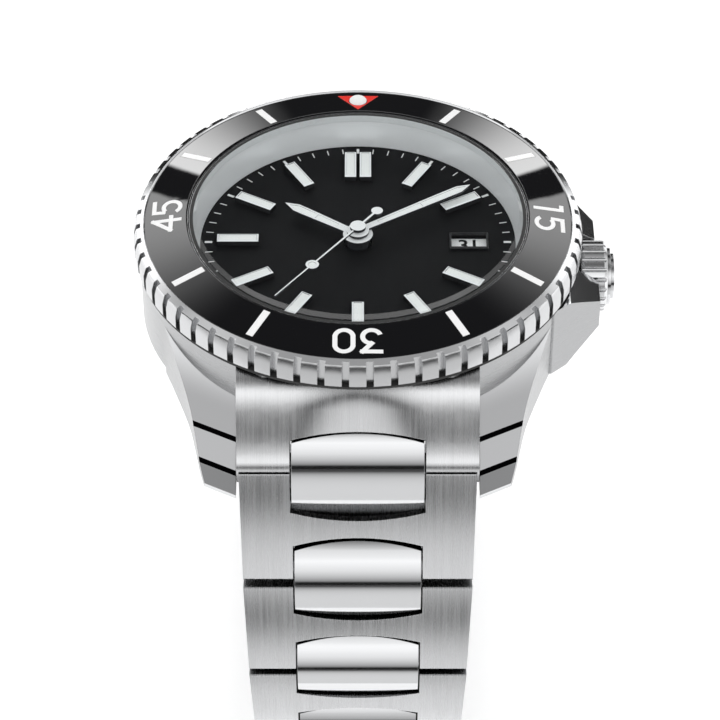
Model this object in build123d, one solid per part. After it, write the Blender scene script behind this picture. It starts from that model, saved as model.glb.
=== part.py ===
"""Diver's wristwatch on a closed steel bracelet.

Frame: origin at the centre of the case back's outer face, +Z out through the dial,
+Y towards 12 o'clock, +X towards 3 o'clock and the crown. Millimetres.
The bracelet is symmetric about the XZ plane, so its 6 o'clock half mirrors the 12 o'clock one.
"""
from build123d import *
import os
from math import atan2, cos, degrees, radians, sin

# ---- clearances
RUN = 0.05            # radial clearance of anything that turns or slides
SEAT = 0.01           # radial clearance of a pressed pin
SIDE_PLAY = 0.15      # each side of a centre link in its notch
LINK_PLAY = 0.2       # each side of the first link between the lugs
END_GAP = 0.05        # round an end link
BEZEL_GAP = 0.3       # open line under the bezel

# ---- main sizes
BEZEL_R = 21.0
BORE_R = 15.75        # seat of crystal, chapter ring and dial
CASE_TOP = 8.6        # shoulder under the bezel, level with the dial
CASE_BOTTOM = 0.9
LUG_GAP = 22.0        # between the lugs

# ---- case
CASE_R = BEZEL_R - 0.5
CASE_CHAMFER = 0.8
NECK_R = BORE_R + 0.85    # tower the bezel turns on
LIP = 0.2                 # thin rim round the crystal
CAVITY_R = BORE_R + 0.3
BACK_R = CAVITY_R + 1.15
BACK_RIM = 2.0            # top of the case back's threaded rim
GASKET = 0.4
BACK_FACE_R = BACK_R - 2.7
BACK_THICK = 1.1
BACK_BORE_R = CAVITY_R - 0.45
POCKET_Y = CASE_R - 1.9   # flat the end links stand against

# ---- spring bars, lugs and crown guards
BAR_AT = (CASE_R + 1.057, 0.425)
BAR_R = 0.9
BAR_TIP_R = 0.35
BAR_TIP = 0.3         # how far a tip enters its lug
LUG_SKEW = 29.0       # degrees the facet lines turn outwards
LUG_TIP = 3.043       # lug tip beyond the spring bar
LUG_FLANK = [(6.9, -14.7), (5.55, -11.1), (4.25, -7.3), (3.25, -3.0), (2.65, -0.9)]   # from the inner corner
LUG_FACETS = [(-4.25, 2.45), (-4.0, 2.0), (-2.0, 0.35), (-1.75, -0.1), (0.0, -0.8)]    # from the tip, height
LUG_UNDERSIDE = [(-0.15, -1.35), (-2.0, -1.1), (-5.4, 0.2), (-9.6, CASE_BOTTOM)]
LUG_TOP_RUN = 13.0    # where the top facet leaves the case, back from the tip
GUARD = [(-3.0, 3.0), (2.1, 3.0), (2.1, 6.0), (0.1, 7.7), (-2.45, 10.0), (-4.5, 10.0)]   # past the case
GUARD_HIGH = (2.3, 5.1)   # below the shoulder, at the outer edge

# ---- crown and winding
CROWN_Z = 4.5
CROWN_R = 3.4
CROWN_ROOM = 0.35
CROWN_FLUTES = 22
FLUTE_R = 0.22
CROWN_IN = CASE_R + 0.5
CROWN_RIM = CROWN_IN + 2.5
CROWN_STEP_R = CROWN_R - 0.65
CROWN_STEP = CROWN_RIM + 0.35
CROWN_BOSS_R = CROWN_R - 1.2
CROWN_END = CROWN_STEP + 0.35
TUBE_R = 1.25
TUBE_BORE_R = 0.8
TUBE_IN = CAVITY_R - 0.85
TUBE_OUT = CROWN_IN + 1.6
STEM_R = 0.6
STEM_IN = 8.2
PINION_R = 1.1
PINION_X = (8.6, 10.6)
STEM_ROOM = 1.4       # half width of the channel round the stem

# ---- bezel
BEZEL_BOTTOM = CASE_TOP + BEZEL_GAP
TOOTH_TOP = BEZEL_BOTTOM + 1.5
RIM_R = BEZEL_R - 0.28
RIM_Z = BEZEL_BOTTOM + 2.4
INSERT_R = BEZEL_R - 1.07
INSERT_EDGE_Z = RIM_Z + 0.15
INSERT_IN_R = BORE_R + 0.3
INSERT_IN_Z = INSERT_EDGE_Z + 0.65
INSERT_THICK = 0.55
NECK_TOP = INSERT_IN_Z - INSERT_THICK - 0.6
LIP_TOP = INSERT_IN_Z - 0.15
TEETH = 60
NOTCH_WIDTH = 0.66
NOTCH_DEPTH = 0.65
MARK_DEPTH = 0.12
MARK_PROUD = 0.02
MARK_R = (INSERT_IN_R + 0.25, INSERT_R - 0.5)
MARK_WIDTH = 0.7
STROKE = 0.34
DIGIT_HIGH = 2.0
DIGIT_APART = 1.9
DIGIT_STRETCH = (1.3, 1.22, 1.0)   # of the finished pair of digits
PIP_R = 0.85
PIP_Y = INSERT_R - 1.93
PIP_PROUD = 0.12      # its cylinder over the insert's face
PIP_RISE = 0.4        # its dome over the cylinder
CLICK_R = (NECK_R + 0.9, NECK_R + 2.0)
CLICK_DEPTH = 0.4

# ---- crystal, chapter ring and dial
CRYSTAL_R = BORE_R - 0.35
CRYSTAL_Z = (INSERT_IN_Z - 0.9, INSERT_IN_Z + 0.4)
CRYSTAL_BEVEL = 0.35
DIAL_R = BORE_R - 0.15
DIAL_THICK = 0.4
DIAL_HOLE_R = 1.3
DIAL_SEEN_R = BORE_R - 0.9
CHAPTER_TOP_R = BORE_R - 0.3
CHAPTER_R = BORE_R - RUN
BATON = (BORE_R - 6.4, BORE_R - 2.5, 1.1)     # inner and outer radius, width
BATON_HIGH = 0.6
BATON_FRAME = 0.16
TWIN_OFFSET = 0.72
DATE_X = (BORE_R - 6.95, BORE_R - 3.65)
DATE_HALF = 1.0
DATE_FRAME = 0.18
DATE_RING_R = (BORE_R - 7.25, BORE_R - 3.35)
DATE_RING_DEPTH = (0.85, 0.45)   # underside and top, below the dial's face

# ---- hands, set to about nine minutes past ten
HOUR_ANGLE = 304.5
MINUTE_ANGLE = 57.0
SECOND_ANGLE = 217.0
HOUR_HAND = (BORE_R - 7.35, 1.05, 0.75, 1.0)       # length, width, underside and top over the dial
MINUTE_HAND = (BORE_R - 2.95, 0.95, 1.2, 1.45)
SECOND_HAND = (BORE_R - 3.15, 0.22, 1.7, 1.9)
HOUR_PIPE = (0.85, 1.15)                 # bore and outside radius
MINUTE_PIPE = (0.45, 0.8)
SECOND_STEM_R = 0.4
PIPE_DEPTH = 0.55
LOLLIPOP = (7.0, 0.62, 0.36)             # place, outer and inner radius
TAIL = (3.0, 0.55)

# ---- movement
PLATE_R = BORE_R - 2.75
PLATE_Z = (4.25, CASE_TOP - 0.7)
BRIDGE_Z = (2.75, 4.2)
BALANCE_AT = (-6.5, -6.5)
BALANCE_R = (2.9, 3.5)
BALANCE_Z = (3.1, 3.5)
POCKET_R = BALANCE_R[1] + 0.4
ROTOR_R = PLATE_R - 0.4
ROTOR_Z = (1.45, 1.95)
ROTOR_RIM = 2.45
POST_R = 1.0

# ---- bracelet, each half
LINKS = 4
LINK_SLOPES = [64.5, 82.0, 99.0, 119.0]  # degrees below horizontal
END_SLOPE = 57.5
THICK = 3.4
PITCH = 9.8
PIN_OFFSET = 2.0      # pin to the middle of a joint
BAR_OFFSET = 0.95     # spring bar to the middle of the first joint
OUTER_GAP = 0.25      # between straightened links, at the outside
END_BEVEL = 0.55
WIDTH_TOP = LUG_GAP - 2 * LINK_PLAY
TAPER = 0.7           # per link
CENTRE_WIDTHS = [12.0, 11.5, 11.2, 11.0, 10.8]
CENTRE_LONG = 7.7
CENTRE_ARCH = 0.8
CENTRE_END = 0.9      # half height at its ends
CENTRE_CREST = THICK / 2 + 0.25
CENTRE_FLAT = THICK / 2 - 0.15
NOTCH_END = 0.3
PIN_R = 0.6
NOSE_R = THICK / 2 + 0.1
NOSE_GAP = 0.15
END_TOP = [(-4.357, CASE_TOP - 0.1), (-3.157, CASE_TOP - 0.45), (-2.057, CASE_TOP - 1.25),
           (-1.057, 5.85), (-0.157, 3.95), (0.743, 2.35)]      # from the spring bar; height

# ---- folding clasp
CLASP_SAG = 4.5
COVER_HALF = WIDTH_TOP / 2 - LINKS * TAPER / 2 - 0.4
WALL = 1.3
COVER_LAYER = (1.2, 2.0)      # heights over the pin circle, outwards positive
MIDDLE_LAYER = (-0.45, 0.75)
INNER_LAYER = (-1.7, -0.65)
BLADE_HALF = COVER_HALF - WALL - 0.1
WAIST_HALF = BLADE_HALF - 3.1
KNUCKLE_HALF = 3.5
PLATE_END = THICK - 0.4       # cover's edge to the last link's pin
TONGUE_R = 1.0                # half thickness and end radius
FRONT_PIN = (4.186, 0.3, 0.85, 0.45)   # back from the cover's edge, height, barrel and pin radius
REAR_PIN = (7.386, -0.45, 1.1, 0.45)
BUTTON_R = 0.85
BUTTON_FLANGE_R = 1.12
BUTTON_X = (-2.8, -2.1, 0.9)  # inner end, flange face and outer end, from the cover's side


def save(name, shape):
    """Write one sub-part."""
    solids = list(shape.solids())
    export_step(solids[0] if len(solids) == 1 else Compound(children=solids), f"parts/{name}.step")


def disc(radius, low, high, x=0.0, y=0.0):
    """Upright cylinder between two heights."""
    return Pos(x, y, low) * Cylinder(radius, high - low, align=(Align.CENTER, Align.CENTER, Align.MIN))


def tube(inner, outer, low, high):
    """Upright ring."""
    return disc(outer, low, high) - disc(inner, low - 1, high + 1)


def box(x0, x1, y0, y1, z0, z1):
    """Box between limits."""
    return Pos((x0 + x1) / 2, (y0 + y1) / 2, (z0 + z1) / 2) * Box(x1 - x0, y1 - y0, z1 - z0)


def turned(points):
    """Ring turned about Z from (radius, height) corners."""
    return revolve(Plane.XZ * Polygon(*points, align=None), Axis.Z)


def rod_x(radius, x0, x1, y=0.0, z=0.0):
    """Cylinder along X."""
    return Pos((x0 + x1) / 2, y, z) * Rot(0, 90, 0) * Cylinder(radius, x1 - x0)


def prism_x(points, x0, x1):
    """Prism along X from (y, z) corners."""
    return extrude(Plane.YZ.offset(x0) * Polygon(*points, align=None), x1 - x0, dir=(1, 0, 0))


def prism_z(points, z0, z1):
    """Prism along Z from (x, y) corners."""
    return Pos(0, 0, z0) * extrude(Polygon(*points, align=None), z1 - z0, dir=(0, 0, 1))


def clock(shape, angle):
    """Turn a shape made at 12 o'clock clockwise by an angle in degrees."""
    return Rot(0, 0, -angle) * shape


def towards_six(shape):
    """Mirror from the 12 o'clock side to the 6 o'clock side."""
    return mirror(shape, about=Plane.XZ)


def group(shapes):
    """Loose solids kept together."""
    solids = []
    for shape in shapes:
        solids.extend(shape.solids())
    return Compound(children=solids)


# ---- case

def lug_plan():
    """Outline of one lug seen from above, with its flank sweeping into the case."""
    inner = LUG_GAP / 2
    tip = BAR_AT[0] + LUG_TIP
    points = [(inner + x, tip + y) for x, y in LUG_FLANK]
    root = (inner, points[0][1] - 3.9)
    flank = Spline(*points)
    line = Polyline(points[-1], (inner, tip), root, (points[0][0] - 2.1, root[1]), points[0])
    return make_face(flank.edges() + line.edges())


def lug_side():
    """Block under the lug's facets, turned so that the facet lines run outwards."""
    shorten = cos(radians(LUG_SKEW))
    tip = BAR_AT[0] + LUG_TIP
    path = [(-LUG_TOP_RUN, CASE_TOP)] + LUG_FACETS + LUG_UNDERSIDE
    corners = [(2.0, CASE_TOP)] + [(tip + y, z) for y, z in path] + [(2.0, CASE_BOTTOM)]
    block = prism_x([(y * shorten, z) for y, z in corners], -12.0, 12.0)
    inner = LUG_GAP / 2
    return Pos(inner, 0, 0) * Rot(0, 0, -LUG_SKEW) * block


def lug():
    """The lug at one o'clock."""
    raw = Pos(0, 0, -2.0) * extrude(lug_plan(), CASE_TOP + 2.0, dir=(0, 0, 1))
    return raw & lug_side()


def crown_guard():
    """The guard on the 12 o'clock side of the crown."""
    raw = prism_z([(CASE_R + x, y) for x, y in GUARD], CASE_BOTTOM, CASE_TOP)
    edge = CASE_R + 2.2
    high, low = CASE_TOP - GUARD_HIGH[0], CASE_TOP - GUARD_HIGH[1]
    top = [(CAVITY_R, CASE_TOP), (CASE_R - 0.9, CASE_TOP - 0.3), (edge, high), (edge, low),
           (CASE_R - 1.0, CASE_BOTTOM), (CAVITY_R, CASE_BOTTOM)]
    side = extrude(Plane.XZ * Polygon(*top, align=None), 12.0, dir=(0, 1, 0))
    return raw & side


def middle_case():
    """Case body with lugs, crown guards, bezel tower and crystal seat."""
    body = turned([
        (0, CASE_BOTTOM), (CASE_R - CASE_CHAMFER, CASE_BOTTOM), (CASE_R, CASE_BOTTOM + CASE_CHAMFER),
        (CASE_R, CASE_TOP), (NECK_R, CASE_TOP), (NECK_R, NECK_TOP), (BORE_R + LIP, NECK_TOP),
        (BORE_R + LIP, LIP_TOP), (0, LIP_TOP),
    ])
    one = lug()
    for shape in (one, mirror(one, about=Plane.YZ)):
        body = body + shape + towards_six(shape)
    guard = crown_guard()
    body = body + guard + towards_six(guard)
    flat = box(-LUG_GAP / 2, LUG_GAP / 2, POCKET_Y, POCKET_Y + 20, -5, CASE_TOP)
    body = body - flat - towards_six(flat)
    body = body - disc(CAVITY_R, 0, CASE_TOP - DIAL_THICK) - disc(BORE_R, 0, 20)
    body = body - disc(BACK_R, 0, BACK_RIM + GASKET)
    body = body - rod_x(CROWN_R + CROWN_ROOM, CASE_R + 0.1, CASE_R + 10, 0, CROWN_Z)
    body = body - rod_x(TUBE_R, TUBE_IN - 1, TUBE_OUT + 1, 0, CROWN_Z)
    body = body - tube(CLICK_R[0] - 0.1, CLICK_R[1] + 0.1, CASE_TOP - CLICK_DEPTH, CASE_TOP + 0.1)
    reach = LUG_GAP / 2 + BAR_TIP + 0.1
    for y in (BAR_AT[0], -BAR_AT[0]):
        body = body - rod_x(BAR_TIP_R + RUN, -reach, reach, y, BAR_AT[1])
    return body


def case_back():
    """Screwed back with a raised rim inside and six key slots outside."""
    plate = turned([(0, 0), (BACK_FACE_R, 0), (BACK_R - 0.6, 0.7), (BACK_R - SEAT, 0.9),
                    (BACK_R - SEAT, BACK_RIM), (BACK_BORE_R, BACK_RIM), (BACK_BORE_R, BACK_THICK),
                    (0, BACK_THICK)])
    slot = box(-0.9, 0.9, BACK_FACE_R + 0.35, BACK_R - 0.9, -0.1, 0.75)
    for k in range(6):
        plate = plate - Rot(0, 0, 60 * k) * slot
    return plate


def case_back_gasket():
    """Flat sealing ring between the case back's rim and the case."""
    return tube(CAVITY_R + 0.15, BACK_R - 0.1, BACK_RIM, BACK_RIM + GASKET)


def crown_tube():
    """Tube pressed into the case that the crown screws on to."""
    return rod_x(TUBE_R - SEAT, TUBE_IN, TUBE_OUT, 0, CROWN_Z) \
        - rod_x(TUBE_BORE_R, TUBE_IN - 1, TUBE_OUT + 1, 0, CROWN_Z)


def crown():
    """Fluted crown with a stepped end, hollow for the tube and threaded for the stem."""
    body = rod_x(CROWN_R, CROWN_IN, CROWN_RIM, 0, CROWN_Z)
    body = chamfer(body.edges().filter_by(GeomType.CIRCLE), 0.3)
    for k in range(CROWN_FLUTES):
        a = radians(360 / CROWN_FLUTES * k)
        groove = rod_x(FLUTE_R, CROWN_IN - 1, CROWN_RIM + 1, CROWN_R * cos(a), CROWN_Z + CROWN_R * sin(a))
        body = body - groove
    body = body + rod_x(CROWN_STEP_R, CROWN_IN + 1, CROWN_STEP, 0, CROWN_Z)
    body = body + rod_x(CROWN_BOSS_R, CROWN_IN + 1, CROWN_END, 0, CROWN_Z)
    body = body - rod_x(TUBE_R + RUN, CROWN_IN - 1, TUBE_OUT + 0.3, 0, CROWN_Z)
    return body - rod_x(STEM_R + SEAT, CROWN_IN, CROWN_RIM, 0, CROWN_Z)


def winding_stem():
    """Stem from the crown through the tube to the winding pinion."""
    return rod_x(STEM_R, STEM_IN, CROWN_RIM - SEAT, 0, CROWN_Z)


def winding_pinion():
    """Toothed pinion the stem slides through."""
    body = rod_x(PINION_R, PINION_X[0], PINION_X[1], 0, CROWN_Z)
    for k in range(12):
        a = radians(30 * k)
        body = body - rod_x(0.13, PINION_X[0] - 1, PINION_X[1] - 0.7, PINION_R * cos(a),
                            CROWN_Z + PINION_R * sin(a))
    return body - rod_x(STEM_R + RUN, 5, 15, 0, CROWN_Z)


# ---- bezel

def insert_shell(top, bottom):
    """Layer of the conical insert between two heights over its face."""
    return turned([(INSERT_IN_R, INSERT_IN_Z + bottom), (INSERT_R, INSERT_EDGE_Z + bottom),
                   (INSERT_R, INSERT_EDGE_Z + top), (INSERT_IN_R, INSERT_IN_Z + top)])


def bezel_ring():
    """Toothed ring that turns on the case, with a seat for the insert."""
    hold = INSERT_R + SEAT
    floor = INSERT_EDGE_Z - INSERT_THICK
    body = turned([
        (NECK_R + RUN, BEZEL_BOTTOM), (BEZEL_R - 0.15, BEZEL_BOTTOM), (BEZEL_R, BEZEL_BOTTOM + 0.15),
        (BEZEL_R, TOOTH_TOP), (RIM_R + 0.06, RIM_Z - 0.15), (RIM_R - 0.02, RIM_Z),
        (hold + 0.12, INSERT_EDGE_Z + 0.12), (hold, INSERT_EDGE_Z), (hold, floor),
        (INSERT_IN_R, INSERT_IN_Z - INSERT_THICK),
        (INSERT_IN_R, NECK_TOP + 0.2), (NECK_R + RUN, NECK_TOP + 0.2),
    ])
    notch = box(-NOTCH_WIDTH / 2, NOTCH_WIDTH / 2, BEZEL_R - NOTCH_DEPTH, BEZEL_R + 1, CASE_TOP, INSERT_IN_Z)
    notches = group(clock(notch, 360 / TEETH * (k + 0.5)) for k in range(TEETH))
    return body - notches


def bar(points):
    """Strokes of one width along a line of (x, y) points, with square ends."""
    shapes = []
    for (x0, y0), (x1, y1) in zip(points, points[1:]):
        length = ((x1 - x0) ** 2 + (y1 - y0) ** 2) ** 0.5
        stroke = Rectangle(length + STROKE, STROKE)
        turn = degrees(atan2(y1 - y0, x1 - x0))
        shapes.append(Pos((x0 + x1) / 2, (y0 + y1) / 2) * Rot(0, 0, turn) * stroke)
    return Sketch() + shapes


def bow(x, y, radius, start, end):
    """Arc stroke from a start to an end angle in degrees."""
    ring = Circle(radius + STROKE / 2) - Circle(radius - STROKE / 2)
    far = 3 * radius
    steps = [start + (end - start) * k / 6 for k in range(7)]
    fan = Polygon((0, 0), *[(far * cos(radians(a)), far * sin(radians(a))) for a in steps], align=None)
    return Pos(x, y) * (ring & fan)


def digit(value):
    """One upright numeral, centred, DIGIT_HIGH high over its stroke centres."""
    top = DIGIT_HIGH / 2
    if value == "0":
        r = 0.62
        return bow(0, top - r, r, 0, 180) + bow(0, r - top, r, 180, 360) \
            + bar([(-r, r - top), (-r, top - r)]) + bar([(r, r - top), (r, top - r)])
    if value == "1":
        return bar([(0.2, -top), (0.2, top), (-0.2, top)])
    if value == "3":
        r = 0.62
        return bar([(-r, top), (r, top), (0.0, 0.24)]) + bow(0, r - top, r, -160, 90)
    if value == "4":
        return bar([(0.35, -top), (0.35, top), (-0.75, -0.35), (0.75, -0.35)])
    r = 0.64
    return bar([(r, top), (-0.55, top), (-0.6, 0.28)]) + bow(-0.05, r - top, r, -150, 130)


def numeral(text, angle):
    """Two digits on the bezel with their feet towards the dial."""
    pair = Pos(-DIGIT_APART / 2, 0) * digit(text[0]) + Pos(DIGIT_APART / 2, 0) * digit(text[1])
    pair = scale(pair, by=DIGIT_STRETCH)
    middle = (MARK_R[0] + MARK_R[1]) / 2
    return clock(Pos(0, middle, CASE_TOP) * extrude(pair, 6, dir=(0, 0, 1)), angle)


def mark_prisms():
    """Upright prisms through every bezel mark."""
    low, high = MARK_R
    strip = box(-MARK_WIDTH / 2, MARK_WIDTH / 2, low, high, CASE_TOP, CASE_TOP + 6)
    shapes = [clock(strip, 30 * k) for k in range(1, 12) if k % 3]
    shapes += [numeral("15", 90), numeral("30", 180), numeral("45", 270)]
    triangle = prism_z([(0, low - 0.05), (2.0, high - 0.33), (-2.0, high - 0.33)], CASE_TOP, CASE_TOP + 6)
    shapes.append(triangle - disc(PIP_R + 0.05, 0, CASE_TOP + 7, 0, PIP_Y))
    return shapes


def bezel_marks():
    """White bars, numerals and the triangle, inlaid in the insert."""
    layer = insert_shell(MARK_PROUD, -MARK_DEPTH)
    return group(shape & layer for shape in mark_prisms())


def bezel_insert():
    """Conical ceramic ring with inlaid marks and a socket for the luminous dot."""
    layer = insert_shell(MARK_PROUD, -MARK_DEPTH)
    body = insert_shell(0, -INSERT_THICK + SEAT)
    for shape in mark_prisms():
        body = body - (shape & layer)
    return body - disc(PIP_R, CASE_TOP, CASE_TOP + 6, 0, PIP_Y)


def bezel_pip():
    """Domed luminous dot on the triangle."""
    slope = (INSERT_IN_Z - INSERT_EDGE_Z) / (INSERT_R - INSERT_IN_R)
    radius = PIP_R - SEAT
    face = INSERT_EDGE_Z + slope * (INSERT_R - PIP_Y)
    foot = face - INSERT_THICK + slope * radius
    shoulder = face + PIP_PROUD
    sphere = (radius ** 2 + PIP_RISE ** 2) / (2 * PIP_RISE)
    dome = Pos(0, PIP_Y, shoulder + PIP_RISE - sphere) * Sphere(sphere)
    stem = disc(radius, foot, shoulder, 0, PIP_Y)
    return stem + (dome & disc(radius, foot, shoulder + PIP_RISE + 1, 0, PIP_Y))


def click_spring():
    """Flat spring ring with three raised pawls, in its groove."""
    low = CASE_TOP - CLICK_DEPTH
    ring = tube(CLICK_R[0], CLICK_R[1], low, low + 0.3)
    pawl = box(-0.5, 0.5, CLICK_R[0] + 0.2, CLICK_R[1] - 0.2, low + 0.2, CASE_TOP + 0.2)
    for k in range(3):
        ring = ring + clock(pawl, 120 * k)
    return ring


# ---- crystal, dial and hands

def chapter_ring():
    """Brushed cone between dial and crystal."""
    low = CASE_TOP
    high = CRYSTAL_Z[0]
    return turned([(DIAL_SEEN_R, low), (CHAPTER_R, low), (CHAPTER_R, high), (CHAPTER_TOP_R, high)])


def crystal():
    """Flat crystal with a bevelled edge."""
    low, high = CRYSTAL_Z
    return turned([(0, low), (CRYSTAL_R, low), (CRYSTAL_R, high - CRYSTAL_BEVEL),
                   (CRYSTAL_R - CRYSTAL_BEVEL, high), (0, high)])


def dial():
    """Dial plate with a centre hole and a date window."""
    plate = disc(DIAL_R, CASE_TOP - DIAL_THICK, CASE_TOP) - disc(DIAL_HOLE_R, 0, CASE_TOP + 1)
    return plate - box(DATE_X[0], DATE_X[1], -DATE_HALF, DATE_HALF, 0, CASE_TOP + 1)


def baton(inner, outer, width):
    """Raised steel frame of one hour mark, at 12 o'clock, open for its luminous filling."""
    top = CASE_TOP + BATON_HIGH
    solid = box(-width / 2, width / 2, inner, outer, CASE_TOP, top)
    solid = chamfer(solid.edges().group_by(Axis.Z)[-1], 0.08)
    rim = BATON_FRAME
    return solid - box(rim - width / 2, width / 2 - rim, inner + rim, outer - rim, top - 0.12, top + 1)


def hour_marks():
    """Batons, the double baton at 12 and the bevelled date frame."""
    one = baton(*BATON)
    shapes = [clock(one, 30 * k) for k in range(1, 12) if k != 3]
    shapes += [Pos(TWIN_OFFSET, 0, 0) * one, Pos(-TWIN_OFFSET, 0, 0) * one]
    out = DATE_FRAME
    frame = box(DATE_X[0] - out, DATE_X[1] + out, -DATE_HALF - out, DATE_HALF + out, CASE_TOP, CASE_TOP + 0.3)
    frame = chamfer(frame.edges().group_by(Axis.Z)[-1], 0.1)
    shapes.append(frame - box(DATE_X[0], DATE_X[1], -DATE_HALF, DATE_HALF, 0, CASE_TOP + 1))
    return group(shapes)


def pointed_hand(size, pipe):
    """Broad pointed hand with a raised edge, its boss and the pipe it sits on."""
    length, width = size[:2]
    low, high = CASE_TOP + size[2], CASE_TOP + size[3]
    half = width / 2
    blade = prism_z([(-half * 0.7, 0), (-half, length * 0.72), (-half, length - 1.3), (0, length),
                     (half, length - 1.3), (half, length * 0.72), (half * 0.7, 0)], low, high)
    edge = 0.17
    bed = prism_z([(-half * 0.72 + edge, 2.3), (-half + edge, length * 0.72), (-half + edge, length - 1.45),
                   (0, length - 0.55), (half - edge, length - 1.45), (half - edge, length * 0.72),
                   (half * 0.72 - edge, 2.3)], high - 0.1, high + 1)
    bridge = box(-half, half, length * 0.56, length * 0.56 + 0.12, low, high)
    body = blade - bed + bridge + disc(pipe[1] + 0.25, low, high) + disc(pipe[1], CASE_TOP - PIPE_DEPTH, high)
    return body - disc(pipe[0], 0, high + 1)


def hour_hand():
    """Hour hand on the outer pipe."""
    return clock(pointed_hand(HOUR_HAND, HOUR_PIPE), HOUR_ANGLE)


def minute_hand():
    """Minute hand on the inner pipe."""
    return clock(pointed_hand(MINUTE_HAND, MINUTE_PIPE), MINUTE_ANGLE)


def seconds_hand():
    """Thin hand with a filled ring, a round tail and its stem."""
    length, width = SECOND_HAND[:2]
    low, high = CASE_TOP + SECOND_HAND[2], CASE_TOP + SECOND_HAND[3]
    place, outer, inner = LOLLIPOP
    outline = [(-width / 2, -TAIL[0]), (-0.05, length), (0.05, length), (width / 2, -TAIL[0])]
    needle = prism_z(outline, low, high)
    body = needle + disc(outer, low, high, 0, place) + disc(TAIL[1], low, high, 0, -TAIL[0])
    body = body - disc(inner, high - 0.08, high + 1, 0, place)
    body = body + disc(0.75, low, high + 0.15) + disc(SECOND_STEM_R, CASE_TOP - PIPE_DEPTH, high)
    return clock(chamfer(body.edges().group_by(Axis.Z)[-1], 0.05), SECOND_ANGLE)


# ---- movement

def date_ring():
    """Date disc that turns under the dial."""
    deep, shallow = DATE_RING_DEPTH
    return tube(DATE_RING_R[0], DATE_RING_R[1], CASE_TOP - deep, CASE_TOP - shallow)


def main_plate():
    """Main plate with the date recess, centre hole, stem channel and balance pocket."""
    low, high = PLATE_Z
    body = disc(PLATE_R, low, high) - disc(HOUR_PIPE[1] + RUN, 0, CASE_TOP)
    groove = CASE_TOP - DATE_RING_DEPTH[0] - RUN
    body = body - tube(DATE_RING_R[0] - 0.1, DATE_RING_R[1] + 0.1, groove, CASE_TOP)
    body = body - box(STEM_IN - 0.5, CASE_R, -STEM_ROOM, STEM_ROOM, 0, CROWN_Z + STEM_ROOM)
    body = body - disc(POCKET_R, 0, low + 1, *BALANCE_AT)
    return body


def train_bridge():
    """Bridge over the gear train, with the rotor's post and a window for the balance."""
    low, high = BRIDGE_Z
    body = disc(PLATE_R, low, high) - disc(POCKET_R, 0, CASE_TOP, *BALANCE_AT)
    body = body - box(STEM_IN - 0.5, CASE_R, -STEM_ROOM, STEM_ROOM, 0, CASE_TOP)
    cock = box(-1.0, 1.0, -POCKET_R - 1.0, POCKET_R + 1.0, low, low + 0.3)
    body = body + Pos(BALANCE_AT[0], BALANCE_AT[1], 0) * Rot(0, 0, 45) * cock
    body = body & disc(PLATE_R, 0, CASE_TOP)
    return body + disc(POST_R, ROTOR_Z[0] - 0.1, low + 0.1)


def balance_wheel():
    """Balance wheel with its arms and staff."""
    low, high = BALANCE_Z
    x, y = BALANCE_AT
    rim = disc(BALANCE_R[1], low, high, x, y) - disc(BALANCE_R[0], low - 1, high + 1, x, y)
    rim = rim + box(x - BALANCE_R[0] - 0.1, x + BALANCE_R[0] + 0.1, y - 0.25, y + 0.25, low, high)
    return rim + disc(0.35, low, high + 0.9, x, y)


def rotor():
    """Half-round winding weight turning on the bridge's post."""
    low, high = ROTOR_Z
    body = disc(ROTOR_R, low, high) + tube(ROTOR_R - 2.2, ROTOR_R, low, ROTOR_RIM)
    body = body & box(-ROTOR_R, ROTOR_R, -ROTOR_R, 0, 0, 5)
    return body + disc(2.6, low, high) - disc(POST_R + RUN, 0, 5)


def movement_holder():
    """Ring between movement and case, cut for the stem."""
    ring = tube(PLATE_R + SEAT, CAVITY_R - SEAT, BRIDGE_Z[0], CASE_TOP - DIAL_THICK)
    return ring - box(10, CASE_R, -STEM_ROOM, STEM_ROOM, CROWN_Z - STEM_ROOM, CROWN_Z + STEM_ROOM)


# ---- bracelet, 12 o'clock half

def along(point, slope, distance):
    """Point reached by going down the bracelet; points are (y, z)."""
    a = radians(slope)
    return point[0] + distance * cos(a), point[1] - distance * sin(a)


def joint_slope(k):
    """Slope of the centre link at joint k."""
    before = END_SLOPE if k == 0 else LINK_SLOPES[k - 1]
    return (before + LINK_SLOPES[k]) / 2


def chain():
    """Moving pin, slope of the centre link and fixed pin of every joint; then the last pin."""
    joints = []
    point = BAR_AT
    for k in range(LINKS):
        slope = joint_slope(k)
        reach = (BAR_OFFSET if k == 0 else PIN_OFFSET) + PIN_OFFSET
        fixed = along(point, slope, reach)
        joints.append((point, slope, fixed))
        point = along(fixed, LINK_SLOPES[k], PITCH - 2 * PIN_OFFSET)
    return joints, point


def plan_plane(point, slope):
    """Local x across, y down the bracelet, z outwards."""
    a = radians(slope)
    return Plane(origin=(0, point[0], point[1]), x_dir=(1, 0, 0), z_dir=(0, sin(a), cos(a)))


def side_plane(point, slope):
    """Local x down the bracelet, y outwards, z across."""
    a = radians(slope)
    return Plane(origin=(0, point[0], point[1]), x_dir=(0, cos(a), -sin(a)), z_dir=(1, 0, 0))


def arched(half_width, top, bottom, sag_top, sag_bottom):
    """Plan outline with bowed ends; sag is how far the middle stands out of the corners."""
    lines = [
        ThreePointArc((-half_width, top + sag_top), (0, top), (half_width, top + sag_top)),
        Line((half_width, top + sag_top), (half_width, bottom - sag_bottom)),
        ThreePointArc((half_width, bottom - sag_bottom), (0, bottom), (-half_width, bottom - sag_bottom)),
        Line((-half_width, bottom - sag_bottom), (-half_width, top + sag_top)),
    ]
    return make_face(lines)


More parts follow.
